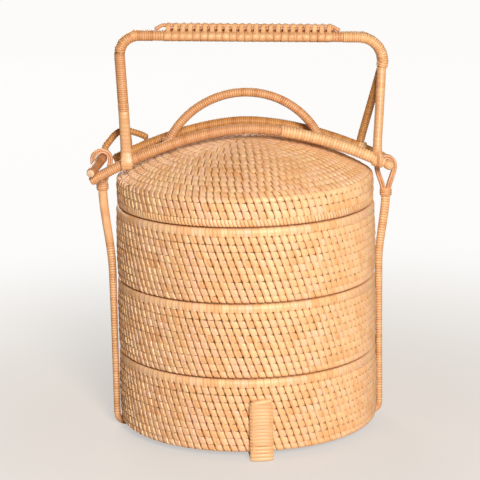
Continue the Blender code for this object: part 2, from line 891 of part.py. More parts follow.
def build_yoke(lid):
    yoke = add_empty("yoke_body", (post_top_x, 0, pin_height()), lid)
    make_bar("front_bar", -bar_spread, post_top_x + bar_left_overhang, True, yoke)
    make_bar("back_bar", bar_spread, post_top_x - bar_back_shortfall, False, yoke)
    make_hinge_pin(yoke)

    left_front = -post_top_x + bail_left_foot_in_front
    left_back = -post_top_x + bail_left_foot_in_back
    right_front = post_top_x - bail_right_foot_in_front
    right_back = post_top_x - bail_right_foot_in_back
    make_bail_rod("bail_front_rod", -1, left_front, right_front, True, yoke)
    make_bail_rod("bail_back_rod", 1, left_back, right_back, False, yoke)
    make_bail_bindings(yoke)
    make_grip_rail(yoke)
    make_foot_lashing("left_front_lashing", left_front, -bar_spread, True, yoke)
    make_foot_lashing("left_back_lashing", left_back, bar_spread, False, yoke)
    make_foot_lashing("right_front_lashing", right_front, -bar_spread, True, yoke)
    make_foot_lashing("right_back_lashing", right_back, bar_spread, False, yoke)
    return yoke


def build():
    below = build_frame()
    for tier, name in enumerate(tier_names):
        body = add_empty(name + "_body", (0, 0, stack_base + tier * tier_pitch), below)
        make_tray(tier, name, body)
        below = body

    lid = add_empty("lid_body", (0, 0, lid_base), below)
    make_lid_side(lid)
    make_lid_dome(lid)
    make_lid_arch(lid)

    yoke = build_yoke(lid)
    peg = add_empty("peg_body", peg_place(), yoke)
    make_peg(peg)


build()
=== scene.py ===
"""Looks of a three-tier coiled rattan carrying basket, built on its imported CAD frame.

Coils, stitches and windings are real geometry. A UV map called weave counts them: U runs
across the cane strands, one unit to a stitch cell or a turn, and V runs along them.
Metres throughout, +Z up, front at -Y.
"""

import math
from types import SimpleNamespace

import bpy
import numpy as np
from mathutils import Matrix, Vector


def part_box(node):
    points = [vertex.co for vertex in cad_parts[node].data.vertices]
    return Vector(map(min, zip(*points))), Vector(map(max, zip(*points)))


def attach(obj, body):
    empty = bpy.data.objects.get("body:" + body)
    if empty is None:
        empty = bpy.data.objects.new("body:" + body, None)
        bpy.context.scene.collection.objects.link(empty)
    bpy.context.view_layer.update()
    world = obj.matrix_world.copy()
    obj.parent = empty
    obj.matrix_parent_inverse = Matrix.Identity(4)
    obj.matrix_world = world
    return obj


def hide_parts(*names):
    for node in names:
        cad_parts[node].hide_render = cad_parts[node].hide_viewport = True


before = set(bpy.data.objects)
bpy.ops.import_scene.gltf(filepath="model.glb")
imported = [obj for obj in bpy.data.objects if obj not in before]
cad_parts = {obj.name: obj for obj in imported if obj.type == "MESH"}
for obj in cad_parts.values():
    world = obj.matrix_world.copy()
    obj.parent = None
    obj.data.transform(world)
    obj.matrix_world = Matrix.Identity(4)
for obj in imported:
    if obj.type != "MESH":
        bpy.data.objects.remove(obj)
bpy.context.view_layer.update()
chance = np.random.default_rng(20)

# Sizes that the frame's boxes don't give

# Coiled walls and lid
wall_thickness = 0.0070
wall_rows = 9
wall_bow = 0.0012
coil_pitch = 0.00677
coil_proud = 0.0002
row_waviness = 0.0001
stitch_width = 0.0070
stitch_slant = 0.34
seam_relief = 0.0003
seat_gap = 0.0003
nest_clearance = 0.0006
inner_ring_thickness = 0.0032
inner_ring_rows = 5
inner_ring_stitches = 110
lid_rows = 3
shoulder_round = 0.0065
shoulder_inner_share = 0.8
dome_rise = 0.0305
dome_rows = 17
dome_thickness = 0.0060

# Yoke, bail and arch
bar_spread = 0.0220
bar_drop = 0.03865
bar_curve_share = 1.75
bar_rod = 0.0092
bar_rod_thick = 0.0106
bar_thick_from = 0.0320
dome_to_bar = 0.0067
bar_left_inset = 0.0016
bar_right_inset = 0.0012
bar_knob = 0.0090
bar_overlap = 0.0010
slope_step = 0.0030
bail_rod = 0.0066
winding_wall = 0.0009
grip_thinner = 0.0003
foot_lashing_wall = 0.0016
foot_lashing_width = 0.0090
foot_ring_half = 0.0060
arch_radius = 0.0788
arch_rod = 0.0080
arch_winding_half = 0.0041
arch_foot_inset = 0.0004
arch_foot_place = 0.0065
arch_foot_half = 0.0058
arch_foot_reach = 0.0028

# The bail's legs lie this far in from the posts' tops; forks are (inset, height over the bars)
left_leg_inset = 0.0197
right_leg_inset = 0.0027
left_corner = 0.0170
right_corner = 0.0230
left_rise = 0.0865
right_rise = 0.0792
left_fork = (0.0220, 0.0137)
right_fork = (0.0043, 0.0477)

# Strands under the forks, left and right: half widths, and how far in from the posts' tops they end
front_strand_halves = (0.0050, 0.0043)
back_strand_halves = (0.0040, 0.0038)
front_feet = (0.0225, 0.0113)
back_feet = (0.0255, 0.0199)

# A front strand's flat wrap: how far off the bar's face and how high its points lie
fork_share = 0.2
strand_tuck = 0.0040
strand_deep = 0.0040
wrap_over = 0.0015
wrap_top = (0.0012, 0.0042)
wrap_gap = 0.0002
wrap_end = (0.0016, 0.0012)
wrap_length = 0.0155
wrap_deep = 0.0016
wrap_flattening = 0.0060
wrap_widening = 0.0005
wrap_lead = 0.0100
wrap_spreading = 0.0120
wrap_round_end = 0.0040
wrap_end_share = 0.62

# Grip's rail, and the lace, which is widest on the bail and narrow round the rail
grip_rise = 0.0094
grip_run = 0.0080
grip_rail_half = 0.0018
rail_bed = 0.0017
lace_pitch = 0.0069
lace_steps = 28
lace_half_thick = 0.0003
lace_bed = 0.0011
lace_side_bed = 0.0001
lace_rail_bed = 0.0004
round_bail_share = 0.62
round_bail_degrees = (62, -242)
round_rail_degrees = (-150, 150)
lace_width_shares = (0, 0.3, 0.54, 0.66, 0.80, 0.94, 1)
lace_halves = (0.0024, 0.0030, 0.0028, 0.0016, 0.0013, 0.0014, 0.0024)

# Runners and posts: post_across_halves and post_deep_halves are at the tiers, then at the top
runner_thickness = 0.0060
runner_bend = 0.0078
post_lean_start = 0.1500
post_clearance = 0.0013
post_foot_half = 0.0028
post_across_halves = (0.0030, 0.0042)
post_deep_halves = (0.0048, 0.0028)
post_overlap = 0.0002
left_post_bare = 0.0560
post_tail_halves = (0.0029, 0.0048)
post_tail_overlap = 0.0020
tail_climb_end = 0.0140
tail_climb_length = 0.0360
collar_flat_share = 0.92
stub_cap = 0.0008
stub_ground_gap = 0.0005
stub_turn = 0.0033

# Loops, whose cane is two flat strands, one inside the other: (offset, half width) of each
loop_rod = 0.0046
loop_reach = 0.0083
loop_strands = ((-0.0011, 0.0012), (0.0012, 0.0011))
loop_strand_deep = 0.0030

# Peg: peg_reach is how far its cut end lies to the left of the loop, in front of it and below
# it. Pairs are at the cut end, then at the loop, and for the tail at its start, then at its end.
peg_off_centre = 0.0003
peg_reach = (0.0115, 0.0360, 0.0073)
peg_rods = (0.0088, 0.0078)
peg_stout_half = (0.0042, 0.0048)
peg_straight = 0.0385
peg_neck = 0.0400
peg_neck_length = 0.0060
peg_bend = 0.0038
peg_hook = 0.0036
peg_hook_gap = 0.0028
peg_tail_run = 0.0432
peg_tail_rise = 0.0216
# Points of the tail: shares of its run, of the way back over the bars, and of its rise
peg_tail_shares = ((0.06, 0.22, 0.375), (0.19, 0.44, 0.667), (0.32, 0.58, 0.898), (0.49, 0.72, 1.0),
                   (0.68, 0.83, 0.875), (0.87, 0.94, 0.713), (1.0, 1.0, 0.546))
peg_tail_half = (0.0025, 0.0022)
peg_bound_from = 0.0455
peg_tail_slimming = 0.0450
peg_winding_wall = 0.0008
peg_end_inset = 0.0004
peg_cut_half = 0.0037
peg_cut_face = 0.0012

# Stage and light
table_reach = 12.0
lit_height = 0.2

# A bare cane's UV unit and the spacing of its rings, and a curve's steps from point to point
bare_turn = 0.004
bare_step = 0.0022
smooth_steps = 8

piece_above = {"bottom_tray": "middle_tray_wall", "middle_tray": "top_tray_wall", "top_tray": "lid_side"}


def linear(code):
    """Linear light of an sRGB hex colour."""
    parts = [int(code[place:place + 2], 16) / 255 for place in (1, 3, 5)]
    curve = [part / 12.92 if part <= 0.04045 else ((part + 0.055) / 1.055) ** 2.4 for part in parts]
    return (*curve, 1.0)


def add_node(tree, kind, links=None, stops=(), **settings):
    """Add a shader node and give its first output in use.

    settings are its properties, links its inputs by name or place, and stops a ramp's (place,
    grey or hex colour) pairs. A Map Range's places are 0 for the value, 1 and 2 for the range
    it comes from, 3 and 4 for the one it goes to; a Mix's are 0 for the share, 6 and 7."""
    node = tree.nodes.new("ShaderNode" + kind)
    for name, value in settings.items():
        setattr(node, name, value)
    for place, value in (links or {}).items():
        if isinstance(value, bpy.types.NodeSocket):
            tree.links.new(value, node.inputs[place])
        else:
            node.inputs[place].default_value = value
    if stops:
        elements = node.color_ramp.elements
        while len(elements) < len(stops):
            elements.new(0.5)
        for element, (place, value) in zip(elements, stops):
            element.position = place
            element.color = linear(value) if isinstance(value, str) else (value, value, value, 1.0)
    return next((output for output in node.outputs if output.enabled), None)


def ease(share):
    """A share from 0 to 1 that starts and ends gently."""
    return share * share * (3 - 2 * share)


# Meshes

class Surface:
    """Quad grids and flat ends that become one mesh."""

    def __init__(self):
        self.points, self.corners, self.starts, self.uvs, self.finishes = [], [], [], [], []
        self.finish = 0
        self.point_count = 0
        self.corner_count = 0

    def add_faces(self, corners, uvs):
        """corners[face, corner] are point numbers, and uvs go with them."""
        self.starts.append(self.corner_count + corners.shape[1] * np.arange(len(corners)))
        self.corners.append(corners.ravel())
        self.uvs.append(uvs.reshape(-1, 2))
        self.finishes.append(np.full(len(corners), self.finish))
        self.corner_count += corners.size

    def add_rings(self, points, uvs, joined):
        """points[ring, side], whose last ring can join the first; uvs are one longer where they meet."""
        rings, sides = points.shape[:2]
        i, j = np.meshgrid(np.arange(rings if joined else rings - 1), np.arange(sides), indexing="ij")
        next_i, next_j = (i + 1) % rings, (j + 1) % sides
        corners = np.stack([i * sides + j, next_i * sides + j, next_i * sides + next_j,
                            i * sides + next_j], axis=-1)
        corner_uvs = np.stack([uvs[i, j], uvs[i + 1, j], uvs[i + 1, j + 1], uvs[i, j + 1]], axis=2)
        first = self.point_count
        self.points.append(points.reshape(-1, 3))
        self.point_count += rings * sides
        self.add_faces(corners.reshape(-1, 4) + first, corner_uvs)
        return first

    def add_end(self, ring, uv):
        """One flat face over a ring of point numbers."""
        self.add_faces(ring[None, :], np.tile(np.array(uv, float), (len(ring), 1)))

    def make(self, name, body, slot, materials, *nodes):
        """The piece, on its body, in the place of these CAD nodes."""
        mesh = bpy.data.meshes.new(name)
        points = np.concatenate(self.points)
        corners = np.concatenate(self.corners)
        starts = np.concatenate(self.starts)
        mesh.vertices.add(len(points))
        mesh.vertices.foreach_set("co", points.astype(np.float32).ravel())
        mesh.loops.add(len(corners))
        mesh.loops.foreach_set("vertex_index", corners.astype(np.int32))
        mesh.polygons.add(len(starts))
        mesh.polygons.foreach_set("loop_start", starts.astype(np.int32))
        mesh.polygons.foreach_set("material_index", np.concatenate(self.finishes).astype(np.int32))
        mesh.update(calc_edges=True)
        layer = mesh.uv_layers.new(name="weave")
        layer.uv.foreach_set("vector", np.concatenate(self.uvs).astype(np.float32).ravel())
        mesh.validate()
        mesh.shade_smooth()
        for material in materials if isinstance(materials, tuple) else (materials,):
            mesh.materials.append(material)
        piece = bpy.data.objects.new(name, mesh)
        bpy.context.scene.collection.objects.link(piece)
        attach(piece, body)
        if nodes:
            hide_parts(*nodes)


def smoothed(points):
    """A smooth curve through the points."""
    points = np.array([tuple(point) for point in points], float)
    moved = np.linalg.norm(np.diff(points, axis=0), axis=1) > 1e-7
    points = points[np.append(True, moved)]
    ends = np.concatenate([[2 * points[0] - points[1]], points, [2 * points[-1] - points[-2]]])
    share = np.arange(smooth_steps)[:, None] / smooth_steps
    curve = []
    for before, start, stop, after in zip(ends, ends[1:], ends[2:], ends[3:]):
        curve.append(0.5 * (2 * start + (stop - before) * share
                            + (2 * before - 5 * start + 4 * stop - after) * share ** 2
                            + (3 * start - before - 3 * stop + after) * share ** 3))
    return np.concatenate(curve + [points[-1:]])


class Line:
    """A smooth path with a cross-section frame, measured by its length.

    The frame's deep direction starts at side and turns with the path; held keeps it at side."""

    def __init__(self, points, side=(0, 1, 0), held=False):
        self.points = smoothed(points)
        lengths = np.linalg.norm(np.diff(self.points, axis=0), axis=1)
        self.far = np.concatenate([[0], np.cumsum(lengths)])
        self.length = self.far[-1]
        tangents = np.gradient(self.points, axis=0)
        tangents /= np.linalg.norm(tangents, axis=1)[:, None]
        side = deep = np.array(side, float)
        found = []
        for tangent in tangents:
            deep = side if held else deep
            deep = deep - tangent * tangent.dot(deep)
            deep = deep / np.linalg.norm(deep)
            found.append(deep)
        self.deep = np.array(found)
        self.across = np.cross(tangents, self.deep)

    def beside(self, offset):
        """The line that runs this far to its across side."""
        return Line((self.points + self.across * offset)[::4], self.deep[0])

    def at(self, far):
        """(point, across, deep) arrays at these lengths along the path."""
        far = np.clip(far, 0, self.length)
        found = []
        for values in (self.points, self.across, self.deep):
            found.append(np.stack([np.interp(far, self.far, values[:, axis]) for axis in range(3)], axis=-1))
        return found


# Within one turn of a winding: places, and how far they stand out as a share of the relief
turn_shares = np.array([0.0, 0.14, 0.5, 0.86])
lift_shares = np.array([-1.3, 0.0, 0.55, 0.0])
end_narrowing_share = 0.45


def plain_rings(start, stop):
    """Rings of a bare cane: how far along it, how high over its surface, and their UV."""
    count = max(4, int((stop - start) / bare_step))
    far = start + (stop - start) * np.arange(count + 1) / count
    return far, np.zeros(len(far)), far / bare_turn


def wound_rings(start, stop, turn, relief, first_turn):
    """The same for a winding, whose turns rise out of one groove and fall into the next."""
    count = max(1, round((stop - start) / turn))
    places = (np.arange(count)[:, None] + turn_shares).ravel()
    far = np.append(start + (stop - start) * places / count, stop)
    height = np.append(np.tile(lift_shares, count), lift_shares[0]) * relief
    return far, height, np.append(places, count) + first_turn


def rounded_ends(far, start, stop, end_round):
    """Share of its full size that a rod has at these lengths."""
    if end_round <= 0:
        return np.ones(len(far))
    close = np.minimum(far - start, stop - far)
    return 1.0 - end_narrowing_share * np.clip(1 - close / end_round, 0, 1) ** 2


def size_at(size, far):
    return size(far) if callable(size) else np.full(far.shape, size)


def rod(surface, line, half_across, half_deep=None, turn=None, relief=0.00030, tilt=0.0, sides=14,
        start=0.0, stop=None, end_round=0.001, first_turn=0.0, oval=False):
    """Cane rod or winding along a line; with a turn width it has a groove between its turns.

    half_across and half_deep are numbers or functions of the length along the line. The
    section is a round one drawn out flat, or an oval."""
    stop = line.length if stop is None else stop
    far, height, turns = (wound_rings(start, stop, turn, relief, first_turn) if turn
                          else plain_rings(start, stop))
    angle = 2 * np.pi * (np.arange(sides) + 0.5) / sides
    along = np.clip(far[:, None] + tilt * np.sin(angle), start, stop)
    point, across, deep = line.at(along)
    wide = size_at(half_across, along)
    thick = wide if half_deep is None else size_at(half_deep, along)
    shrink, height = rounded_ends(far, start, stop, end_round)[:, None], height[:, None]
    radius = np.minimum(wide, thick)
    if oval:
        out_across = (wide * shrink + height) * np.cos(angle)
        out_deep = (thick * shrink + height) * np.sin(angle)
    else:
        round_part = radius * shrink + height
        out_across = round_part * np.cos(angle) + np.sign(np.cos(angle)) * (wide - radius)
        out_deep = round_part * np.sin(angle) + np.sign(np.sin(angle)) * (thick - radius)
    points = point + across * out_across[..., None] + deep * out_deep[..., None]
    girth = np.arange(sides + 1) / sides * 2 * np.pi * float(radius.mean()) / (turn or bare_turn)
    uvs = np.stack(np.broadcast_arrays(turns[:, None], girth), axis=-1)
    first_ring = surface.add_rings(points, uvs, False) + np.arange(sides)
    surface.add_end(first_ring, (turns[0] + 0.5, 0.5))
    surface.add_end((first_ring + (len(far) - 1) * sides)[::-1], (turns[-1] - 0.5, 0.5))


def wind(name, body, slot, material, node, line, *sizes, **settings):
    """A piece that is one rod or winding, in the place of its CAD node."""
    surface = Surface()
    rod(surface, line, *sizes, **settings)
    surface.make(name, body, slot, material, node)


# Coiled and stitched rows

# Section points of a row, as shares of its width: the outer ones, then the inner ones
outer_shares = (0, 0.05, 0.14, 0.30, 0.5, 0.70, 0.86, 0.95, 1.0)
inner_shares = (0.75, 0.25)
row_shares = np.array(outer_shares + inner_shares)
row_widths = 2 * row_shares - 1
row_outer = np.arange(len(row_shares)) < len(outer_shares)
row_roundness = 2.1
groove_opening = 1.2
bridge_crown = 0.05
free_edge_share = 0.2
inner_swell_share = 0.5
swell_spread = (0.5, 1.3)
place_spread = 0.02
smallest_radius = 0.0001
millimetre = 0.001

# A stitch cell's columns: place in the cell, swell in mm, and how far the cane bridges the gaps
# to the rows below and above. A wide wrap rises to the right and drops off into a groove, out
# of which the binding stitch comes up. The groove is deepest where the rows meet.
stitch_cell = [(0.00, -0.05, 1.0, 1.0), (0.14, 0.10, 0.95, 0.92), (0.30, 0.34, 0.92, 0.88),
               (0.46, 0.60, 0.85, 0.80), (0.545, 0.35, 0.45, 0.40), (0.595, -0.65, 0.15, 0.12),
               (0.645, -1.40, 0.08, 0.06), (0.725, -0.50, 0.95, 0.90), (0.86, -0.05, 1.0, 1.0)]
# A rim cell has two plain wraps, and both reach the row below but for a notch
rim_cell = [(0.00, -0.22, 0.9, 0.0), (0.07, 0.0, 1.0, 0.0), (0.25, 0.08, 1.0, 0.0), (0.43, 0.0, 0.9, 0.0),
            (0.50, -0.20, 0.2, 0.0), (0.58, 0.0, 0.1, 0.0), (0.75, 0.06, 0.6, 0.0), (0.93, 0.0, 1.0, 0.0)]
# The lid's lowest row has narrow wraps, two to each stitch above it
close_cell = [(0.00, -0.55, 0.2, 0.8), (0.16, 0.0, 0.2, 0.9), (0.50, 0.25, 0.2, 1.0), (0.84, 0.0, 0.2, 0.9)]
close_wraps_to_stitch = 2
# On the dome the grooves are wide, and show from every side
dome_cell = [(0.00, 0.05, 0.95, 0.95), (0.15, 0.28, 0.90, 0.85), (0.34, 0.42, 0.80, 0.75),
             (0.46, 0.20, 0.50, 0.45), (0.53, -0.80, 0.15, 0.12), (0.63, -1.25, 0.08, 0.06),
             (0.71, -0.70, 0.40, 0.35), (0.79, 0.18, 1.0, 0.95), (0.91, 0.25, 1.0, 1.0)]
floor_cell = [(0.00, -0.10, 0.8, 0.8), (0.31, 0.20, 0.2, 0.2), (0.61, -0.60, 0.1, 0.1),
              (0.80, 0.25, 1.0, 1.0)]
plain_cell = [(0.00, -0.45, 0.6, 0.6), (0.15, 0.0, 0.3, 0.3), (0.5, 0.18, 0.0, 0.0), (0.85, 0.0, 0.3, 0.3)]


def straight_row(centre, tangent, normal, half):
    """Row section on a straight profile: widths from -1 to 1 give (radius, height, normal)."""
    return lambda width: (centre[0] + tangent[0] * width * half, centre[1] + tangent[1] * width * half,
                          normal[0], normal[1])


def arc_row(centre, radius, start, stop):
    """Row section round an arc of the profile, with angles from the axis in radians."""
    def section(width):
        angle = start + (stop - start) * (width + 1) / 2
        out, up = np.sin(angle), np.cos(angle)
        return centre[0] + radius * out, centre[1] + radius * up, out, up
    return section


def coil(surface, section, depth_out, depth_in, cells, cell, row, slant=stitch_slant, waviness=0.0,
         free_low=False):
    """One stitched coil round the axis; its low edge is free where no row is sewn to it."""
    column = np.arange(cells * len(cell))
    number = column // len(cell)
    place, swell, bridge_low, bridge_high = np.array(cell)[column % len(cell)].T
    swell_share = chance.uniform(*swell_spread, cells)[number]
    across = number + place + chance.uniform(-place_spread, place_spread, cells)[number]
    if free_low:
        bridge_low = bridge_low * free_edge_share
    bridge = np.where(row_shares < 0.5, bridge_low[:, None], bridge_high[:, None]) * np.abs(row_widths) ** 0.5
    arc = np.maximum(0, 1 - np.abs(row_widths) ** row_roundness) ** (1 / row_roundness)
    # Grooves open towards the rows' edges
    arc = arc ** (1 + groove_opening * np.clip(-swell, 0, 1))[:, None]
    flat = 1 - bridge_crown + bridge_crown * (1 - row_widths ** 2)
    raised = np.where(swell > 0, swell * swell_share, swell)[:, None] * millimetre
    out = depth_out * (arc * (1 - bridge) + flat * bridge) + raised * np.maximum(arc, bridge) ** 0.5
    offset = np.where(row_outer, out, -(depth_in * arc + raised * inner_swell_share))
    turn = (across[:, None] - slant * (row + row_shares)) * 2 * np.pi / cells
    radius, height, out_radius, out_height = section(row_widths)
    radius = np.maximum(radius + out_radius * offset, smallest_radius)
    # Three slow waves round a row, shifted from one row to the next
    height = height + out_height * offset + waviness * np.sin(3 * turn + 1.7 * row)
    points = np.stack([radius * np.cos(turn), radius * np.sin(turn), height], axis=-1)
    u = np.append(across, cells + across[0])
    v = np.append(row + row_shares, row)
    surface.add_rings(points, np.stack(np.broadcast_arrays(u[:, None], v), axis=-1), True)


def upright_coil(surface, inside, outside, low, high, cells, cell, row, slant=0.1):
    """A coil between two radii and two heights."""
    depth = (outside - inside) / 2
    section = straight_row((inside + depth, (low + high) / 2), (0, 1), (1, 0), (high - low) / 2)
    coil(surface, section, depth, depth, cells, cell, row, slant)


def coil_wall(radius, low, high, rows, cells, bow, close_rows=0):
    """Coil rows one over the other, drawn in by the bow at the top and the bottom.

    The lowest rows can have narrow wraps in place of stitches: the second finish."""
    surface = Surface()
    low += seam_relief
    pitch = (high - low) / rows
    depth = wall_thickness / 2
    for row in range(rows):
        inset = bow * (2 * (row + 0.5) / rows - 1) ** 4
        section = straight_row((radius - depth - inset, low + pitch * (row + 0.5)), (0, 1), (1, 0), pitch / 2)
        close = row < close_rows
        finer = close_wraps_to_stitch if close else 1
        surface.finish = int(close)
        coil(surface, section, depth + coil_proud, depth - inset, finer * cells,
             close_cell if close else stitch_cell, row, finer * stitch_slant, row_waviness,
             free_low=row == 0 and not close)
    return surface


def stitches_round(radius, least=0):
    return max(least, round(2 * math.pi * radius / stitch_width))


# Trays and lid

def make_tray(tray):
    low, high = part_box(tray + "_wall")
    cells = stitches_round(high.x)
    surface = coil_wall(high.x, low.z, high.z, wall_rows, cells, wall_bow)
    surface.make(tray + "_coils", tray, "pale_split_cane", coiled_cane, tray + "_wall")

    low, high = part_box(tray + "_rim")
    surface = Surface()
    upright_coil(surface, high.x - wall_thickness, high.x + coil_proud - wall_bow / 3, low.z - seat_gap,
                 high.z - seam_relief, cells, rim_cell, 0)
    surface.make(tray + "_rim_wraps", tray, "pale_split_cane", rim_cane, tray + "_rim")
    make_tray_base(tray)
    make_inner_ring(tray)


def make_tray_base(tray):
    """Flat coils from the wall in to the middle."""
    low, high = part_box(tray + "_floor")
    surface = Surface()
    half = (high.z - low.z) / 2
    rows = round(high.x / coil_pitch)
    pitch = high.x / rows
    for row in range(rows):
        middle = high.x - pitch * (row + 0.5)
        section = straight_row((middle, low.z + half), (1, 0), (0, -1), pitch / 2)
        coil(surface, section, half, half, stitches_round(middle, 6), floor_cell, rows - row)
    surface.make(tray + "_base_coils", tray, "rattan_core", coiled_cane, tray + "_floor")


def make_inner_ring(tray):
    """Thin coils that stand above the rim and narrow to fit inside the tier above."""
    low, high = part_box(tray + "_collar")
    surface = Surface()
    pitch = (high.z - low.z) / inner_ring_rows
    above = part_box(piece_above[tray])[1].x - wall_thickness - nest_clearance
    for row, outside in enumerate((high.x, high.x, (high.x + above) / 2, above, above)):
        upright_coil(surface, above - inner_ring_thickness, outside, low.z + pitch * row,
                     low.z + pitch * (row + 1), inner_ring_stitches, plain_cell, row, stitch_slant)
    surface.make(tray + "_inner_ring", tray, "rattan_core", rim_cane, tray + "_collar")


def make_lid():
    """Upright side rows, a round shoulder coil and the dome, which runs on past its CAD edge."""
    low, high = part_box("lid_side")
    radius = high.x
    cells = stitches_round(radius)
    dome_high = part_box("lid_dome")[1]
    sphere = (dome_high.x ** 2 + dome_rise ** 2) / (2 * dome_rise)
    edge_slope = math.asin(dome_high.x / sphere)
    slope = math.asin((radius - shoulder_round * (1 - math.sin(edge_slope))) / sphere)
    centre = dome_high.z - sphere
    side_top = centre + (sphere - shoulder_round) * math.cos(slope)
    surface = coil_wall(radius, low.z, side_top, lid_rows, cells, 0, close_rows=1)
    depth = wall_thickness / 2
    section = arc_row((radius - shoulder_round, side_top), shoulder_round - depth, math.pi / 2, slope)
    coil(surface, section, depth + coil_proud, depth * shoulder_inner_share, cells, stitch_cell,
         lid_rows)
    surface.make("lid_side_coils", "lid", "pale_split_cane", (coiled_cane, close_cane), "lid_side")

    surface = Surface()
    depth = dome_thickness / 2
    for row in range(dome_rows):
        start = slope * (1 - row / dome_rows)
        middle = sphere * slope * (1 - (row + 0.5) / dome_rows)
        section = arc_row((0, centre), sphere - depth, start, start - slope / dome_rows)
        coil(surface, section, depth, depth, stitches_round(middle, 5), dome_cell, row)
    surface.make("lid_dome_coils", "lid", "pale_split_cane", dome_cane, "lid_dome")


# Materials

# Patches are about 42 mm wide and mottling 10.5 mm. A strand has about 12 fibres side by side.
patch_width = 0.04167
mottle_width = 0.010526
fibres_to_strand = 12.0
tone_shares = (0.0, 0.3, 0.55, 0.8, 1.0)
stitch_tone_shares = (0.0, 0.5, 1.0)
# Across a cell, the middle of the painted shade line in the groove
groove_place = 0.63


def new_material(name):
    material = bpy.data.materials.new(name)
    material.use_nodes = True
    return material, material.node_tree


def weave_places(tree):
    """Where a point lies: across and along its strand, and which strand and row it is on."""
    uv = add_node(tree, "UVMap", uv_map="weave")
    u, v = add_node(tree, "SeparateXYZ", {0: uv}).node.outputs[:2]
    # Handmade turns aren't all one width: a slow noise pushes their edges to and fro
    noise = add_node(tree, "TexNoise", {"Vector": uv, "Scale": 0.9, "Detail": 1.0})
    drift = add_node(tree, "Math", {0: noise, 1: 0.14, 2: -0.07}, operation="MULTIPLY_ADD")
    u = add_node(tree, "Math", {0: u, 1: drift}, operation="ADD")
    stretched = add_node(tree, "Mapping", {"Vector": uv, "Scale": (fibres_to_strand, 0.8, 1.0)})
    fibre = add_node(tree, "TexNoise", {"Vector": stretched, "Scale": 1.0, "Detail": 3.0})
    places = {"v": v, "fibre": fibre}
    for name, value, operation in (("across", u, "FRACT"), ("number", u, "FLOOR"),
                                   ("along", v, "FRACT"), ("row", v, "FLOOR")):
        places[name] = add_node(tree, "Math", {0: value}, operation=operation)
    return SimpleNamespace(**places)


def add_stitches(tree, weave, colour, tones):
    """Binding stitches in their own tones, strongest next to the groove and towards the top of the row, where
    painted shade darkens each as it dives under the next wrap.
    """
    seed = add_node(tree, "CombineXYZ", {0: weave.number, 1: weave.row, 2: 7.0})
    stitch = add_node(tree, "TexWhiteNoise", {"Vector": seed})
    stitch = add_node(tree, "ValToRGB", {0: stitch}, list(zip(stitch_tone_shares, tones)))
    inside = add_node(tree, "ValToRGB", {0: weave.across},
                      [(0.58, 0.0), (0.63, 1.0), (0.82, 0.7), (0.97, 0.15), (1.0, 0.0)])
    stitch_shade_to_top = add_node(tree, "MapRange", {0: weave.along, 1: 0.0, 2: 0.9, 3: 0.25, 4: 1.0})
    share = add_node(tree, "Math", {0: inside, 1: stitch_shade_to_top}, operation="MULTIPLY")
    return add_node(tree, "Mix", {0: share, 6: colour, 7: stitch}, data_type="RGBA")


def add_patches(tree, weave, colour, tone, strength):
    """Patches where one bundle of cane was darker than the next, and streaks along the fibres."""
    where = add_node(tree, "TexCoord").node.outputs["Object"]
    patch = add_node(tree, "TexNoise", {"Vector": where, "Scale": 1 / patch_width, "Detail": 2.0})
    patch = add_node(tree, "MapRange", {0: patch, 1: 0.42, 2: 0.72, 3: 0.0, 4: strength})
    colour = add_node(tree, "Mix", {0: patch, 6: colour, 7: linear(tone)}, data_type="RGBA")
    streak = add_node(tree, "MapRange", {0: weave.fibre, 1: 0.3, 2: 0.7, 3: 0.90, 4: 1.05})
    return add_node(tree, "Mix", {0: 1.0, 6: colour, 7: streak}, data_type="RGBA", blend_type="MULTIPLY")


def add_groove_shade(tree, weave, colour, tone, beside, groove):
    """Painted shade: a brown line in the groove beside each stitch, weaker low down in the row."""
    line = add_node(tree, "MapRange", {0: beside, 1: groove[0], 2: groove[1], 3: 1.0, 4: 0.0})
    fading = add_node(tree, "MapRange", {0: weave.along, 1: 0.1, 2: 0.8, 3: 0.5, 4: 0.9})
    share = add_node(tree, "Math", {0: line, 1: fading}, operation="MULTIPLY")
    return add_node(tree, "Mix", {0: share, 6: colour, 7: linear(tone)}, data_type="RGBA")


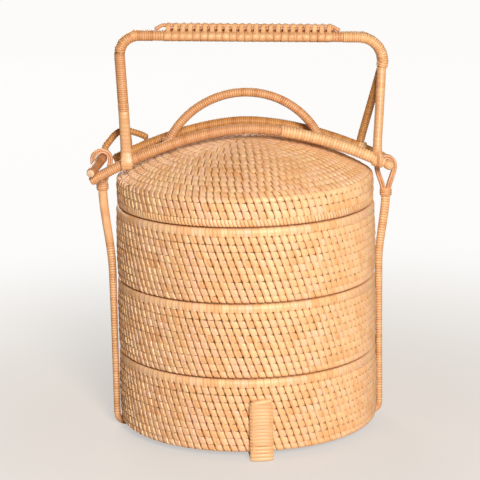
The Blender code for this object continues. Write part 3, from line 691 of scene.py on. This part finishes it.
def add_slot_shade(tree, weave, colour, tone, beside):
    """Painted shade: dark oval slots where the grooves meet the next row, and a dash under each wrap.

    A dash runs left from its slot. Both are weak at some rows and cells."""
    upper = add_node(tree, "Math", {0: weave.v, 1: 0.5}, operation="ADD")
    seam = add_node(tree, "Math", {0: upper}, operation="FLOOR")
    by_seam = add_node(tree, "TexWhiteNoise", {"W": seam}, noise_dimensions="1D")
    seed = add_node(tree, "CombineXYZ", {0: weave.number, 1: seam, 2: 3.0})
    by_cell = add_node(tree, "TexWhiteNoise", {"Vector": seed})
    strength = add_node(tree, "Math", {0: by_cell, 1: 0.45, 2: 0.15}, operation="MULTIPLY_ADD")
    strength = add_node(tree, "Math", {0: by_seam, 1: 0.35, 2: strength}, operation="MULTIPLY_ADD")
    # From 0 at the row's edges to 0.5 in its middle
    inward = add_node(tree, "Math", {0: weave.along, 1: 0.5}, operation="PINGPONG")
    reach = add_node(tree, "CombineXYZ", {0: beside, 1: inward})
    reach = add_node(tree, "VectorMath", {0: reach, 1: (0.10, 0.30, 1.0)}, operation="DIVIDE")
    oval = add_node(tree, "VectorMath", {0: reach, 1: reach}, operation="DOT_PRODUCT")
    slot = add_node(tree, "MapRange", {0: oval, 1: 0.35, 2: 1.0, 3: 1.0, 4: 0.0})
    near = add_node(tree, "MapRange", {0: inward, 1: 0.035, 2: 0.10, 3: 1.0, 4: 0.0})
    under = add_node(tree, "ValToRGB", {0: weave.across},
                     [(0.10, 0.0), (0.22, 0.5), (0.44, 0.9), (0.60, 1.0), (0.65, 0.0)])
    dash = add_node(tree, "Math", {0: near, 1: under}, operation="MULTIPLY")
    dark = add_node(tree, "Math", {0: slot, 1: dash}, operation="MAXIMUM")
    dark = add_node(tree, "Math", {0: dark, 1: strength}, operation="MULTIPLY")
    return add_node(tree, "Mix", {0: dark, 6: colour, 7: linear(tone)}, data_type="RGBA")


def add_turn_shade_lines(tree, weave, colour, tone, line_share):
    """Painted shade: a brown line where one turn of a winding lies against the next."""
    line = add_node(tree, "ValToRGB", {0: weave.across},
                    [(0.0, 0.8), (line_share, 0.1), (line_share * 2, 0.0),
                     (1 - line_share * 2, 0.0), (1 - line_share, 0.1), (1.0, 0.8)])
    return add_node(tree, "Mix", {0: line, 6: colour, 7: linear(tone)}, data_type="RGBA")


def finish_cane(tree, colour, fibre, rough, relief, coat, coat_roughness):
    """Colour, fibre relief and shine of varnished cane; rough is how the fibres change roughness."""
    shader = tree.nodes["Principled BSDF"]
    bump = add_node(tree, "Bump", {"Strength": relief, "Distance": 0.0002, "Height": fibre})
    for name, value in (("Base Color", colour), ("Normal", bump),
                        ("Roughness", add_node(tree, "MapRange", {0: fibre, **rough}))):
        tree.links.new(value, shader.inputs[name])
    shader.inputs["IOR"].default_value = 1.5
    shader.inputs["Coat Weight"].default_value = coat
    shader.inputs["Coat Roughness"].default_value = coat_roughness


def split_cane(name, wraps, line, slot=None, stitches=None, line_share=0.09, patches=0.35,
               groove=(0.048, 0.085)):
    """Split rattan peel: smooth, hard skin with fine lengthwise fibres and a satin varnish.

    The eye gets a pale shine along each strand and strands of unlike tone. The brown gaps are painted shade:
    line is its colour in the grooves beside stitches and between turns, slot its colour in the slots and
    dashes. With stitches each cell has a binding strand and a dash of painted shade under its wrap."""
    material, tree = new_material(name)
    weave = weave_places(tree)
    seed = add_node(tree, "CombineXYZ", {0: weave.number, 1: weave.row if stitches else 0.0})
    strand = add_node(tree, "TexWhiteNoise", {"Vector": seed})
    colour = add_node(tree, "ValToRGB", {0: strand}, list(zip(tone_shares, wraps)))
    if stitches:
        colour = add_stitches(tree, weave, colour, stitches)
    colour = add_patches(tree, weave, colour, wraps[0], patches)
    if stitches:
        # The groove lines, slots and dashes below are painted shade
        beside = add_node(tree, "Math", {0: weave.across, 1: groove_place}, operation="SUBTRACT")
        beside = add_node(tree, "Math", {0: beside}, operation="ABSOLUTE")
        colour = add_groove_shade(tree, weave, colour, line, beside, groove)
        colour = add_slot_shade(tree, weave, colour, slot, beside)
    else:
        colour = add_turn_shade_lines(tree, weave, colour, line, line_share)
    finish_cane(tree, colour, weave.fibre, {1: 0.2, 2: 0.8, 3: 0.32, 4: 0.52}, relief=0.25, coat=0.12,
                coat_roughness=0.3)
    return material


def bare_cane(name, light, dark, roughness=0.38):
    """Whole rattan with its skin on: hard, glossy, streaked along its length, mottled."""
    material, tree = new_material(name)
    where = add_node(tree, "TexCoord").node.outputs["Object"]
    mottle = add_node(tree, "TexNoise", {"Vector": where, "Scale": 1 / mottle_width, "Detail": 3.0})
    # Streaks about 11 mm long and 0.8 mm wide: the map's unit on bare cane is 4 mm
    uv = add_node(tree, "UVMap", uv_map="weave")
    stretched = add_node(tree, "Mapping", {"Vector": uv, "Scale": (0.35, 5.0, 1.0)})
    fibre = add_node(tree, "TexNoise", {"Vector": stretched, "Scale": 1.0, "Detail": 3.0})
    both = add_node(tree, "Math", {0: mottle, 1: fibre}, operation="ADD")
    share = add_node(tree, "MapRange", {0: both, 1: 0.75, 2: 1.25})
    colour = add_node(tree, "Mix", {0: share, 6: linear(light), 7: linear(dark)}, data_type="RGBA")
    finish_cane(tree, colour, fibre, {3: roughness - 0.06, 4: roughness + 0.14}, relief=0.2, coat=0.15,
                coat_roughness=0.25)
    return material


pale_wraps = ("#EEB680", "#FBCC9A", "#FAD4A4", "#FCCEAC", "#F1C08C")
tan_wraps = ("#E6B07A", "#EEBC86", "#F0C490", "#EAB68C", "#DEA670")
# A split cane's colour after its wraps is painted shade: in the grooves beside stitches, and in the joins
# between turns on cane without stitches. A stitched cane's next colour is the painted shade of its slots and
# dashes.
coiled_cane = split_cane("stitched_split_rattan", pale_wraps, "#7C4019", "#501F0A",
                         ("#F2BA86", "#FACA96", "#ECAE7E"))
dome_cane = split_cane("stitched_split_rattan_of_the_dome", pale_wraps, "#763A18", "#501F0A",
                       ("#E8AE7A", "#F0BC88", "#E0A474"), groove=(0.055, 0.10))
rim_cane = split_cane("wrapped_split_rattan_rim", pale_wraps, "#D39C66")
close_cane = split_cane("closely_wrapped_split_rattan", pale_wraps, "#8E5226", line_share=0.14)
rod_cane = split_cane("wound_split_rattan", tan_wraps, "#9A5E32", line_share=0.13)
tan_rod_cane = split_cane("wound_split_rattan_tan", ("#D89E6A", "#E4AE7C", "#E2AC7E", "#DCA278", "#CE9060"),
                          "#8A5028", line_share=0.13, patches=0.6)
pale_rod_cane = split_cane("wound_pale_split_rattan",
                           ("#E8B482", "#F0C492", "#F0C896", "#EDBE92", "#E6B682"),
                           "#B27A48", line_share=0.11)
bail_cane = split_cane("smoothly_wrapped_split_rattan",
                       ("#DEA878", "#E6B486", "#E8B888", "#E4AE84", "#DCA676"),
                       "#BC8652", line_share=0.05, patches=0.5)
# Painted shade: a darker brown copy of the wound cane for the parts that lie behind, which are the back bar,
# the bail's back strands and the peg's tail
back_shade_brown_cane = split_cane("wound_split_rattan_darkened_as_painted_shade", ("#C98E50", "#D69E5E", "#CF9858", "#C58A56", "#B87C44"),
                        "#7E4A22", line_share=0.13)
smooth_cane = bare_cane("peeled_rattan_cane", "#EABE8E", "#D69E70")
loop_cane = bare_cane("bent_rattan_loop_cane", "#E8B690", "#CE9668")
dark_cane = bare_cane("rattan_cane_with_skin", "#CF9668", "#A8693F")
cut_cane = bare_cane("sawn_rattan_end", "#F0D8BC", "#DDB894", 0.6)


# Lines of the yoke, as in the frame

arch_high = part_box("lid_arch_handle")[1]
loop_low, loop_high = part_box("right_loop")
post_top_x = (loop_low.x + loop_high.x) / 2
bar_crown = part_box("lid_dome")[1].z + dome_to_bar + bar_rod / 2
rod_pair = (bail_rod + seat_gap) / 2


def bar_height(x):
    return bar_crown - bar_drop * (abs(x) / post_top_x) ** bar_curve_share


def bar_slope(x):
    return (bar_height(x + slope_step) - bar_height(x - slope_step)) / (2 * slope_step)


def bar_thickness(side, x):
    return bar_rod_thick if side == "front" and x > bar_thick_from else bar_rod


def bend(centre, radius, start_degrees, stop_degrees, steps):
    """Points round an arc, seen from the front."""
    angles = np.radians(np.linspace(start_degrees, stop_degrees, steps + 1))
    return [(centre[0] + radius * math.cos(angle), 0, centre[1] + radius * math.sin(angle))
            for angle in angles]


def make_arch():
    middle = arch_high.z - arch_rod / 2 - arch_radius
    foot = math.asin(min(1, (arch_high.x - arch_foot_inset) / (arch_radius + arch_rod / 2)))
    line = Line([(arch_radius * math.sin(angle), 0, middle + arch_radius * math.cos(angle))
                 for angle in np.linspace(-foot, foot, 33)])
    wind("lid_arch_winding", "lid", "rattan_core", tan_rod_cane, "lid_arch_handle", line,
         arch_winding_half, turn=0.0021, tilt=0.0004)
    for side, far in (("left", arch_foot_place), ("right", line.length - arch_foot_place)):
        wind(side + "_arch_foot_winding", "lid", "split_cane_binding", tan_rod_cane, side + "_arch_lashing",
             line, arch_foot_half, turn=0.0013, start=far - arch_foot_reach, stop=far + arch_foot_reach,
             end_round=0.0012)


def make_bars():
    for side, y in (("front", -bar_spread), ("back", bar_spread)):
        low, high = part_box(side + "_bar")
        xs = np.linspace(low.x + bar_left_inset, high.x - bar_right_inset, 49)
        line = Line([(x, y, bar_height(x)) for x in xs])
        if side == "back":
            wind("back_bar_winding", "yoke", "rattan_core", back_shade_brown_cane, "back_bar", line, bar_rod / 2,
                 turn=0.0019, tilt=0.0008, end_round=0.003)
            continue
        thick_from = np.interp(bar_thick_from, xs, np.linspace(0, line.length, len(xs)))
        thick_to = line.length - bar_knob
        surface = Surface()
        # The thin left stretch takes the darker tan winding: painted shade for the bar's left end, which lies
        # away from the light
        surface.finish = 2
        rod(surface, line, bar_rod / 2, turn=0.0019, tilt=0.0010, stop=thick_from, end_round=0.003)
        surface.finish = 0
        rod(surface, line, bar_rod_thick / 2, turn=0.0028, tilt=0.0004, start=thick_from - bar_overlap,
            stop=thick_to, first_turn=200)
        surface.finish = 1
        rod(surface, line, bar_rod / 2, start=thick_to - bar_overlap, end_round=0.0036)
        surface.make("front_bar_winding", "yoke", "rattan_core", (pale_rod_cane, smooth_cane, tan_rod_cane),
                     "front_bar")


# Bail

def bail_crown(y):
    """Points of the bail from fork to fork, this far behind the middle."""
    left_leg, right_leg = left_leg_inset - post_top_x, post_top_x - right_leg_inset
    points = [(left_fork[0] - post_top_x, 0, bar_crown + left_fork[1])]
    points += bend((left_leg + left_corner, bar_crown + left_rise - left_corner), left_corner, 180, 90, 5)
    points += bend((right_leg - right_corner, bar_crown + right_rise - right_corner), right_corner, 90, 0, 5)
    points.append((post_top_x - right_fork[0], 0, bar_crown + right_fork[1]))
    return np.array([(x, y, z) for x, _, z in points])


def crown_line():
    """The bail's middle line, with two points more in each stretch so that it doesn't overshoot."""
    crown = bail_crown(0)
    points = [start + (stop - start) * share for start, stop in zip(crown, crown[1:])
              for share in (0, 1 / 3, 2 / 3)]
    return Line(points + [crown[-1]])


bail_line = crown_line()


def stretch_of(node):
    """Where a node starts and stops along the bail, without its end stretches, where x turns back."""
    low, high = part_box(node)
    inner = slice(smooth_steps, -smooth_steps)
    return np.interp([low.x, high.x], bail_line.points[inner, 0], bail_line.far[inner])


def foot_place(side, x, y):
    """Where a strand's end lies on the winding round its bar."""
    slope = bar_slope(x)
    upright = bar_thickness(side, x) / 2 + foot_lashing_wall + 2 * nest_clearance + seat_gap
    return np.array([x, y, bar_height(x) + upright * math.sqrt(1 + slope ** 2) + abs(slope) * bail_rod / 2])


def make_bail():
    across = bail_rod / 2 + nest_clearance + winding_wall
    grip_start, grip_stop = stretch_of("grip_binding")
    # The left leg's tan winding is darker than the right leg's: painted shade for the left side, away from
    # the light
    for name, slot, material, thinner, turn, start, stop in (
            ("left_leg", "rattan_core", tan_rod_cane, 0, 0.0020, bail_rod / 2, grip_start),
            ("right_leg", "rattan_core", rod_cane, 0, 0.0020, grip_stop, bail_line.length - bail_rod / 2),
            ("grip", "pale_split_cane", tan_rod_cane, grip_thinner, 0.0024, grip_start, grip_stop)):
        wind(name + "_winding", "yoke", slot, material, name + "_binding", bail_line, across - thinner,
             rod_pair + across - thinner, turn=turn, start=start, stop=stop, sides=18, end_round=0)
    for side, y, offset, material, halves, feet in (
            ("front", -bar_spread, -rod_pair, bail_cane, front_strand_halves, front_feet),
            ("back", bar_spread, rod_pair, back_shade_brown_cane, back_strand_halves, back_feet)):
        crown = bail_crown(offset)
        left, right = feet[0] - post_top_x, post_top_x - feet[1]
        surface = Surface()
        add_bail_strand(surface, side, crown[0], crown[1], foot_place(side, left, y), halves[0])
        add_bail_strand(surface, side, crown[-1], crown[-2], foot_place(side, right, y), halves[1])
        surface.make("bail_" + side + "_strands", "yoke", "rattan_core", material, "bail_" + side + "_rod")
        make_foot_winding("left_" + side, side, left, y)
        make_foot_winding("right_" + side, side, right, y)


def add_bail_strand(surface, side, fork, above, foot, half):
    """A strand from the fork to a bar: the front ones end in a flat wrap down the bar's face."""
    points = [fork + (above - fork) * fork_share, fork, (fork + foot) / 2]
    if side == "back":
        rod(surface, Line(points + [foot, foot - np.array([0, 0, strand_tuck])]), half, turn=0.0019)
        return
    x, height = foot[0], bar_height(foot[0])
    face = -bar_spread - bar_rod_thick / 2 - foot_lashing_wall
    under = height - bar_rod_thick / 2 - foot_lashing_wall
    points += [foot + np.array([0, 0, wrap_over]), (x, face + wrap_top[0], height + wrap_top[1]),
               (x, face + wrap_gap, height), (x, face + wrap_end[0], under + wrap_end[1])]
    strand = Line(points)
    wrap_from = strand.length - wrap_length

    def thick(far):
        share = np.clip((far - wrap_from) / wrap_flattening, 0, 1)
        return strand_deep + (wrap_deep - strand_deep) * ease(share)

    def broad(far):
        share = np.clip((far - wrap_from + wrap_lead) / wrap_spreading, 0, 1)
        near_end = np.clip((strand.length - far) / wrap_round_end, 0, 1)
        round_end = np.sqrt(near_end * (2 - near_end))
        return (half + wrap_widening * share) * (wrap_end_share + (1 - wrap_end_share) * round_end)

    rod(surface, strand, broad, thick, turn=0.0042, relief=0.00010, sides=20, end_round=0.0012)


def make_foot_winding(name, side, x, y):
    """Cane round a bar that holds a foot of the bail."""
    xs = x + np.linspace(-foot_ring_half, foot_ring_half, 9)
    ring = Line([(place, y, bar_height(place)) for place in xs])
    middle, half = ring.length / 2, foot_lashing_width / 2
    wind(name + "_foot_winding", "yoke", "split_cane_binding", pale_rod_cane, name + "_lashing", ring,
         bar_thickness(side, x) / 2 + foot_lashing_wall, turn=0.0030, tilt=0.0006, sides=18,
         start=middle - half, stop=middle + half, end_round=0.0018)


# Grip's rail and its lacing

def make_grip():
    start, stop = stretch_of("grip_rail")
    seat = bail_rod / 2 + nest_clearance + rail_bed + seat_gap
    far = np.linspace(start, stop, 60)
    share = np.clip(np.minimum(far - start, stop - far) / grip_run, 0, 1)
    points = bail_line.at(far)[0]
    points[:, 2] += seat + (grip_rise - seat) * ease(share)
    wind("grip_rail_winding", "yoke", "pale_split_cane", tan_rod_cane, "grip_rail", Line(points),
         grip_rail_half, turn=0.0022, relief=0.0002, sides=10)

    laced = stop - start - 2 * grip_run
    turns = round(laced / lace_pitch)
    points = []
    for step in range(turns * lace_steps + 1):
        share = step % lace_steps / lace_steps
        far = start + grip_run + laced * (step // lace_steps + lace_lean(share)) / turns
        points.append(bail_line.at(np.array([far]))[0][0] + np.array(figure_eight(share)))
    lace = Line(points, (1, 0, 0), held=True)

    def broad(far):
        share = np.interp(far, lace.far, np.linspace(0, turns, len(lace.far))) % 1
        return np.interp(share, lace_width_shares, lace_halves)

    wind("grip_lacing_strand", "yoke", "pale_split_cane", smooth_cane, "grip_lacing", lace, lace_half_thick,
         broad, sides=8, end_round=0)


def lace_lean(share):
    """How far on a lace is at this share of its turn: it moves on between the bar and the rail."""
    return float(np.interp(share, (0.0, 0.06, 0.56, 0.68, 0.94, 1.0), (0.22, 0.30, 0.42, 0.78, 0.86, 1.22)))


def figure_eight(share):
    """(x, y, z) from the bail's middle of a lace that winds round the bail, then round the rail."""
    if share < round_bail_share:
        angle = math.radians(np.interp(share, (0, round_bail_share), round_bail_degrees))
        tall = bail_rod / 2 + nest_clearance + lace_bed
        wide = tall + rod_pair + lace_side_bed
        return (0, wide * math.cos(angle), tall * math.sin(angle))
    angle = math.radians(np.interp(share, (round_bail_share, 1), round_rail_degrees))
    small = grip_rail_half + lace_rail_bed
    return (0, small * math.cos(angle), grip_rise - small * math.sin(angle))


# Posts, loops and runners

def make_loops_and_posts():
    for side, sign in (("left", -1), ("right", 1)):
        low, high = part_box(side + "_loop")
        centre_height = high.z - loop_rod / 2 - loop_reach
        inward = (loop_rod + seat_gap) / 2
        lower = [(inward + (loop_reach - inward) * ease(share), low.z + (centre_height - low.z) * share)
                 for share in np.arange(8) / 8]
        points = [(post_top_x + reach, 0, height) for reach, height in lower]
        points += bend((post_top_x, centre_height), loop_reach, 0, 180, 12)
        points += [(post_top_x - reach, 0, height) for reach, height in reversed(lower)]
        line = Line([(sign * x, y, z) for x, y, z in points])
        surface = Surface()
        for offset, half in loop_strands:
            rod(surface, line.beside(sign * offset), half, loop_strand_deep, sides=16, end_round=0)
        surface.make(side + "_loop_cane", "carrying_frame", "rattan_core", loop_cane, side + "_loop")
        split = low.z - nest_clearance

        low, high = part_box(side + "_post_collar")
        ring = Line([(sign * post_top_x, 0, height) for height in np.linspace(low.z, high.z, 7)])
        wind(side + "_post_collar_winding", "carrying_frame", "split_cane_binding", tan_rod_cane,
             side + "_post_collar", ring, (high.x - low.x) / 2 * collar_flat_share, (high.y - low.y) / 2,
             turn=0.0022, sides=18, end_round=0.0025)
        make_post(side, sign, split)


def make_post(side, sign, split):
    """A post from the foot of its loop to the ground, and its tail under the basket."""
    foot_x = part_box("bottom_tray_rim")[1].x + post_clearance + post_foot_half
    points = []
    for height in np.linspace(split, post_lean_start, 8):
        lean = ease((height - post_lean_start) / (split - post_lean_start))
        points.append((sign * (foot_x + (post_top_x - foot_x) * lean), 0, height))
    for height in np.linspace(post_lean_start, runner_thickness / 2 + runner_bend, 9)[1:]:
        points.append((sign * foot_x, 0, height))
    line = Line(points)

    def sized(low_half, high_half):
        """Half size along the post, which is flat at the tiers and rounder at the top."""
        def half(far):
            height = np.clip(split - far, 0, split)
            share = ease(np.clip((height - post_lean_start / 2) / post_lean_start, 0, 1))
            return low_half + (high_half - low_half) * share
        return half

    across, deep = sized(*post_across_halves), sized(*post_deep_halves)
    surface = Surface()
    bare = left_post_bare if side == "left" else 0.0
    if bare:
        surface.finish = 1
        rod(surface, line, across, deep, stop=bare, sides=18, end_round=0)
        surface.finish = 0
    rod(surface, line, across, deep, turn=0.0025, start=max(0, bare - post_overlap), sides=18, end_round=0,
        first_turn=50, tilt=0.0002)
    surface.finish = 1
    rod(surface, Line(tail_points(sign, foot_x)), *post_tail_halves, sides=18, end_round=0)
    surface.make(side + "_post_cane", "carrying_frame", "rattan_core", (rod_cane, smooth_cane),
                 side + "_post")


def tail_points(sign, foot_x):
    """The post's bend at the ground and its tail, which climbs over the front-to-back runner."""
    half = runner_thickness / 2
    raised = half + runner_thickness + seat_gap
    points = [(foot_x, 0, half + runner_bend + post_tail_overlap)]
    points += bend((foot_x - runner_bend, half + runner_bend), runner_bend, 0, -90, 8)
    points.append((foot_x - 3 * runner_bend, 0, half))
    for share in np.arange(9) / 8:
        x = tail_climb_end + tail_climb_length * (1 - share)
        points.append((x, 0, half + (raised - half) * ease(share)))
    points.append((seat_gap, 0, raised))
    return [(sign * x, y, z) for x, y, z in points]


def make_stubs():
    """Cane wound flat round each turned-up end of the front-to-back runner, from the ground up."""
    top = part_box("front_back_runner")[1].z + stub_cap
    for side in ("front", "back"):
        low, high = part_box(side + "_stub_binding")
        heights = np.linspace(stub_ground_gap, top, 15)
        line = Line([(0, (low.y + high.y) / 2, height) for height in heights], (1, 0, 0))
        foot, head = low.z - stub_ground_gap, high.z - stub_ground_gap
        sizes = {"half_across": (high.y - low.y) / 2, "half_deep": (high.x - low.x) / 2, "turn": stub_turn,
                 "relief": 0.00040, "sides": 36, "oval": True}
        wind(side + "_stub_winding", "carrying_frame", "split_cane_binding", pale_rod_cane,
             side + "_stub_binding", line, start=foot, stop=head, end_round=0, first_turn=foot / stub_turn,
             **sizes)
        # The turns below and above the winding's own piece
        surface = Surface()
        rod(surface, line, stop=foot, end_round=0, **sizes)
        rod(surface, line, start=head, end_round=0.0030, first_turn=head / stub_turn, tilt=0.0009, **sizes)
        surface.make(side + "_runner_end_wraps", "carrying_frame", "split_cane_binding", pale_rod_cane)


# Peg

def make_peg():
    """The peg from its cut front end through the left loop, and its bound tail hooked over the bar."""
    middle = np.array([peg_off_centre - post_top_x, 0, peg_height()])
    way = -np.array(peg_reach)
    front = middle + way
    bent = middle - way / np.linalg.norm(way) * peg_bend
    hooked = bar_spread + (bar_rod + peg_hook) / 2 + peg_hook_gap
    sizes = np.array([peg_tail_run, hooked - bent[1], peg_tail_rise])
    tail = [bent + sizes * shares for shares in peg_tail_shares]
    line = Line([front, (front + middle) / 2, middle, bent] + tail)

    def half(far):
        stout = np.interp(far, (0, peg_straight), peg_stout_half)
        slim = np.interp(far - peg_bound_from, (0, peg_tail_slimming), peg_tail_half)
        return stout + (slim - stout) * ease(np.clip((far - peg_neck) / peg_neck_length, 0, 1))

    surface = Surface()
    rod(surface, line, half, sides=20, end_round=0.0006, start=peg_end_inset)
    surface.finish = 1
    rod(surface, line, peg_cut_half, sides=20, stop=peg_cut_face, end_round=0.0005)
    surface.make("peg_cane", "peg", "dark_bare_rattan", (dark_cane, cut_cane), "locking_peg")
    wind("peg_tail_winding", "peg", "split_cane_binding", back_shade_brown_cane, "peg_tail_binding", line,
         lambda far: half(far) + peg_winding_wall, turn=0.0030, tilt=0.0018, start=peg_bound_from,
         stop=line.length - peg_end_inset)


def peg_height():
    """Height of the peg's middle where it lies on the front bar without touching it."""
    across_x, across_y, rise = peg_reach
    share = bar_spread / across_y
    x = peg_off_centre - post_top_x - across_x * share
    normal = np.cross([1, 0, bar_slope(x)], peg_reach)
    apart = (bar_rod + peg_rods[0] + (peg_rods[1] - peg_rods[0]) * share) / 2 + seat_gap
    return bar_height(x) + apart * np.linalg.norm(normal) / abs(normal[2]) + rise * share


def finish_cad_nodes():
    """Cane for the three CAD nodes that are seen as they are."""
    for name, material in (("front_back_runner", smooth_cane), ("crossing_lashing", dark_cane),
                           ("hinge_pin", dark_cane)):
        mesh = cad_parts[name].data
        mesh.materials.clear()
        mesh.materials.append(material)


# Table, light and camera

def make_stage():
    """Matt pale table, lifted towards white for the camera alone, so no light is added."""
    material, tree = new_material("matt_white_table")
    shader = tree.nodes["Principled BSDF"]
    shader.inputs["Base Color"].default_value = linear("#D2C6BA")
    shader.inputs["Roughness"].default_value = 0.8
    # The shadow stays round the basket's foot, and the table fades to white away from it
    place = add_node(tree, "NewGeometry").node.outputs["Position"]
    away = add_node(tree, "VectorMath", {0: place}, operation="LENGTH")
    lifted = add_node(tree, "MapRange", {0: away, 1: 0.12, 2: 0.8, 3: 0.52, 4: 0.98},
                      interpolation_type="SMOOTHSTEP")
    seen = add_node(tree, "LightPath").node.outputs["Is Camera Ray"]
    share = add_node(tree, "Math", {0: seen, 1: lifted}, operation="MULTIPLY")
    white = add_node(tree, "Emission", {0: linear("#FEFDFB"), 1: 1.0})
    mixed = add_node(tree, "MixShader", {0: share, 1: shader.outputs[0], 2: white})
    tree.links.new(mixed, tree.nodes["Material Output"].inputs[0])
    mesh = bpy.data.meshes.new("table")
    mesh.from_pydata([(-table_reach, -table_reach, 0), (table_reach, -table_reach, 0),
                      (table_reach, table_reach, 0), (-table_reach, table_reach, 0)], [], [(0, 1, 2, 3)])
    mesh.materials.append(material)
    table = bpy.data.objects.new("table", mesh)
    bpy.context.scene.collection.objects.link(table)


def make_light(name, place, size, watts, colour):
    data = bpy.data.lights.new(name, "AREA")
    data.shape = "DISK"
    data.size = size
    data.energy = watts
    data.color = linear(colour)[:3]
    light = bpy.data.objects.new(name, data)
    light.location = place
    light.rotation_euler = (Vector((0, 0, lit_height)) - Vector(place)).to_track_quat("-Z", "Y").to_euler()
    bpy.context.scene.collection.objects.link(light)


def make_studio():
    make_light("key_softbox", (0.31, -2.45, 1.20), size=0.8, watts=77, colour="#FFF8EE")
    make_light("fill_softbox", (2.4, -0.2, 1.2), size=1.6, watts=3, colour="#FFF6EA")
    make_light("back_softbox", (-0.5, 2.4, 1.0), size=1.4, watts=26, colour="#FFF6EA")
    world = bpy.data.worlds.new("pale_room")
    bpy.context.scene.world = world
    world.use_nodes = True
    tree = world.node_tree
    tree.nodes.clear()
    seen = add_node(tree, "LightPath").node.outputs["Is Camera Ray"]
    room = add_node(tree, "Background", {0: linear("#FFEBD8"), 1: 0.13})
    wall = add_node(tree, "Background", {0: linear("#F8F7F6"), 1: 1.0})
    add_node(tree, "OutputWorld", {0: add_node(tree, "MixShader", {0: seen, 1: room, 2: wall})})


def make_camera():
    """The photograph's view: 1.8 m away, 0.59 m up, looking down 13 degrees, rolled 1 degree."""
    distance, height = 1.8, 0.5909
    pitch, roll, azimuth = math.radians(12.98), math.radians(-1.0), math.radians(5.0)
    pixels, focal_pixels, shift_pixels = 480, 1953.6, 5.94
    data = bpy.data.cameras.new("camera")
    data.sensor_width = 36
    data.lens = focal_pixels / pixels * data.sensor_width
    data.shift_x = -shift_pixels / pixels
    data.clip_end = 50
    camera = bpy.data.objects.new("camera", data)
    bpy.context.scene.collection.objects.link(camera)
    camera.location = (-distance * math.sin(azimuth), -distance * math.cos(azimuth), height)
    level = Vector((math.sin(azimuth), math.cos(azimuth), 0))
    ahead = level * math.cos(pitch) - Vector((0, 0, 1)) * math.sin(pitch)
    right = ahead.cross(Vector((0, 0, 1))).normalized()
    up = right.cross(ahead)
    turned_right = right * math.cos(roll) + up * math.sin(roll)
    turned_up = up * math.cos(roll) - right * math.sin(roll)
    camera.rotation_mode = "QUATERNION"
    camera.rotation_quaternion = Matrix((turned_right, turned_up, -ahead)).transposed().to_quaternion()
    bpy.context.scene.camera = camera


for tray_name in piece_above:
    make_tray(tray_name)
make_lid()
make_arch()
make_bars()
make_bail()
make_grip()
make_loops_and_posts()
make_stubs()
make_peg()
finish_cad_nodes()
make_stage()
make_studio()
make_camera()
bpy.context.scene.view_settings.view_transform = "Standard"
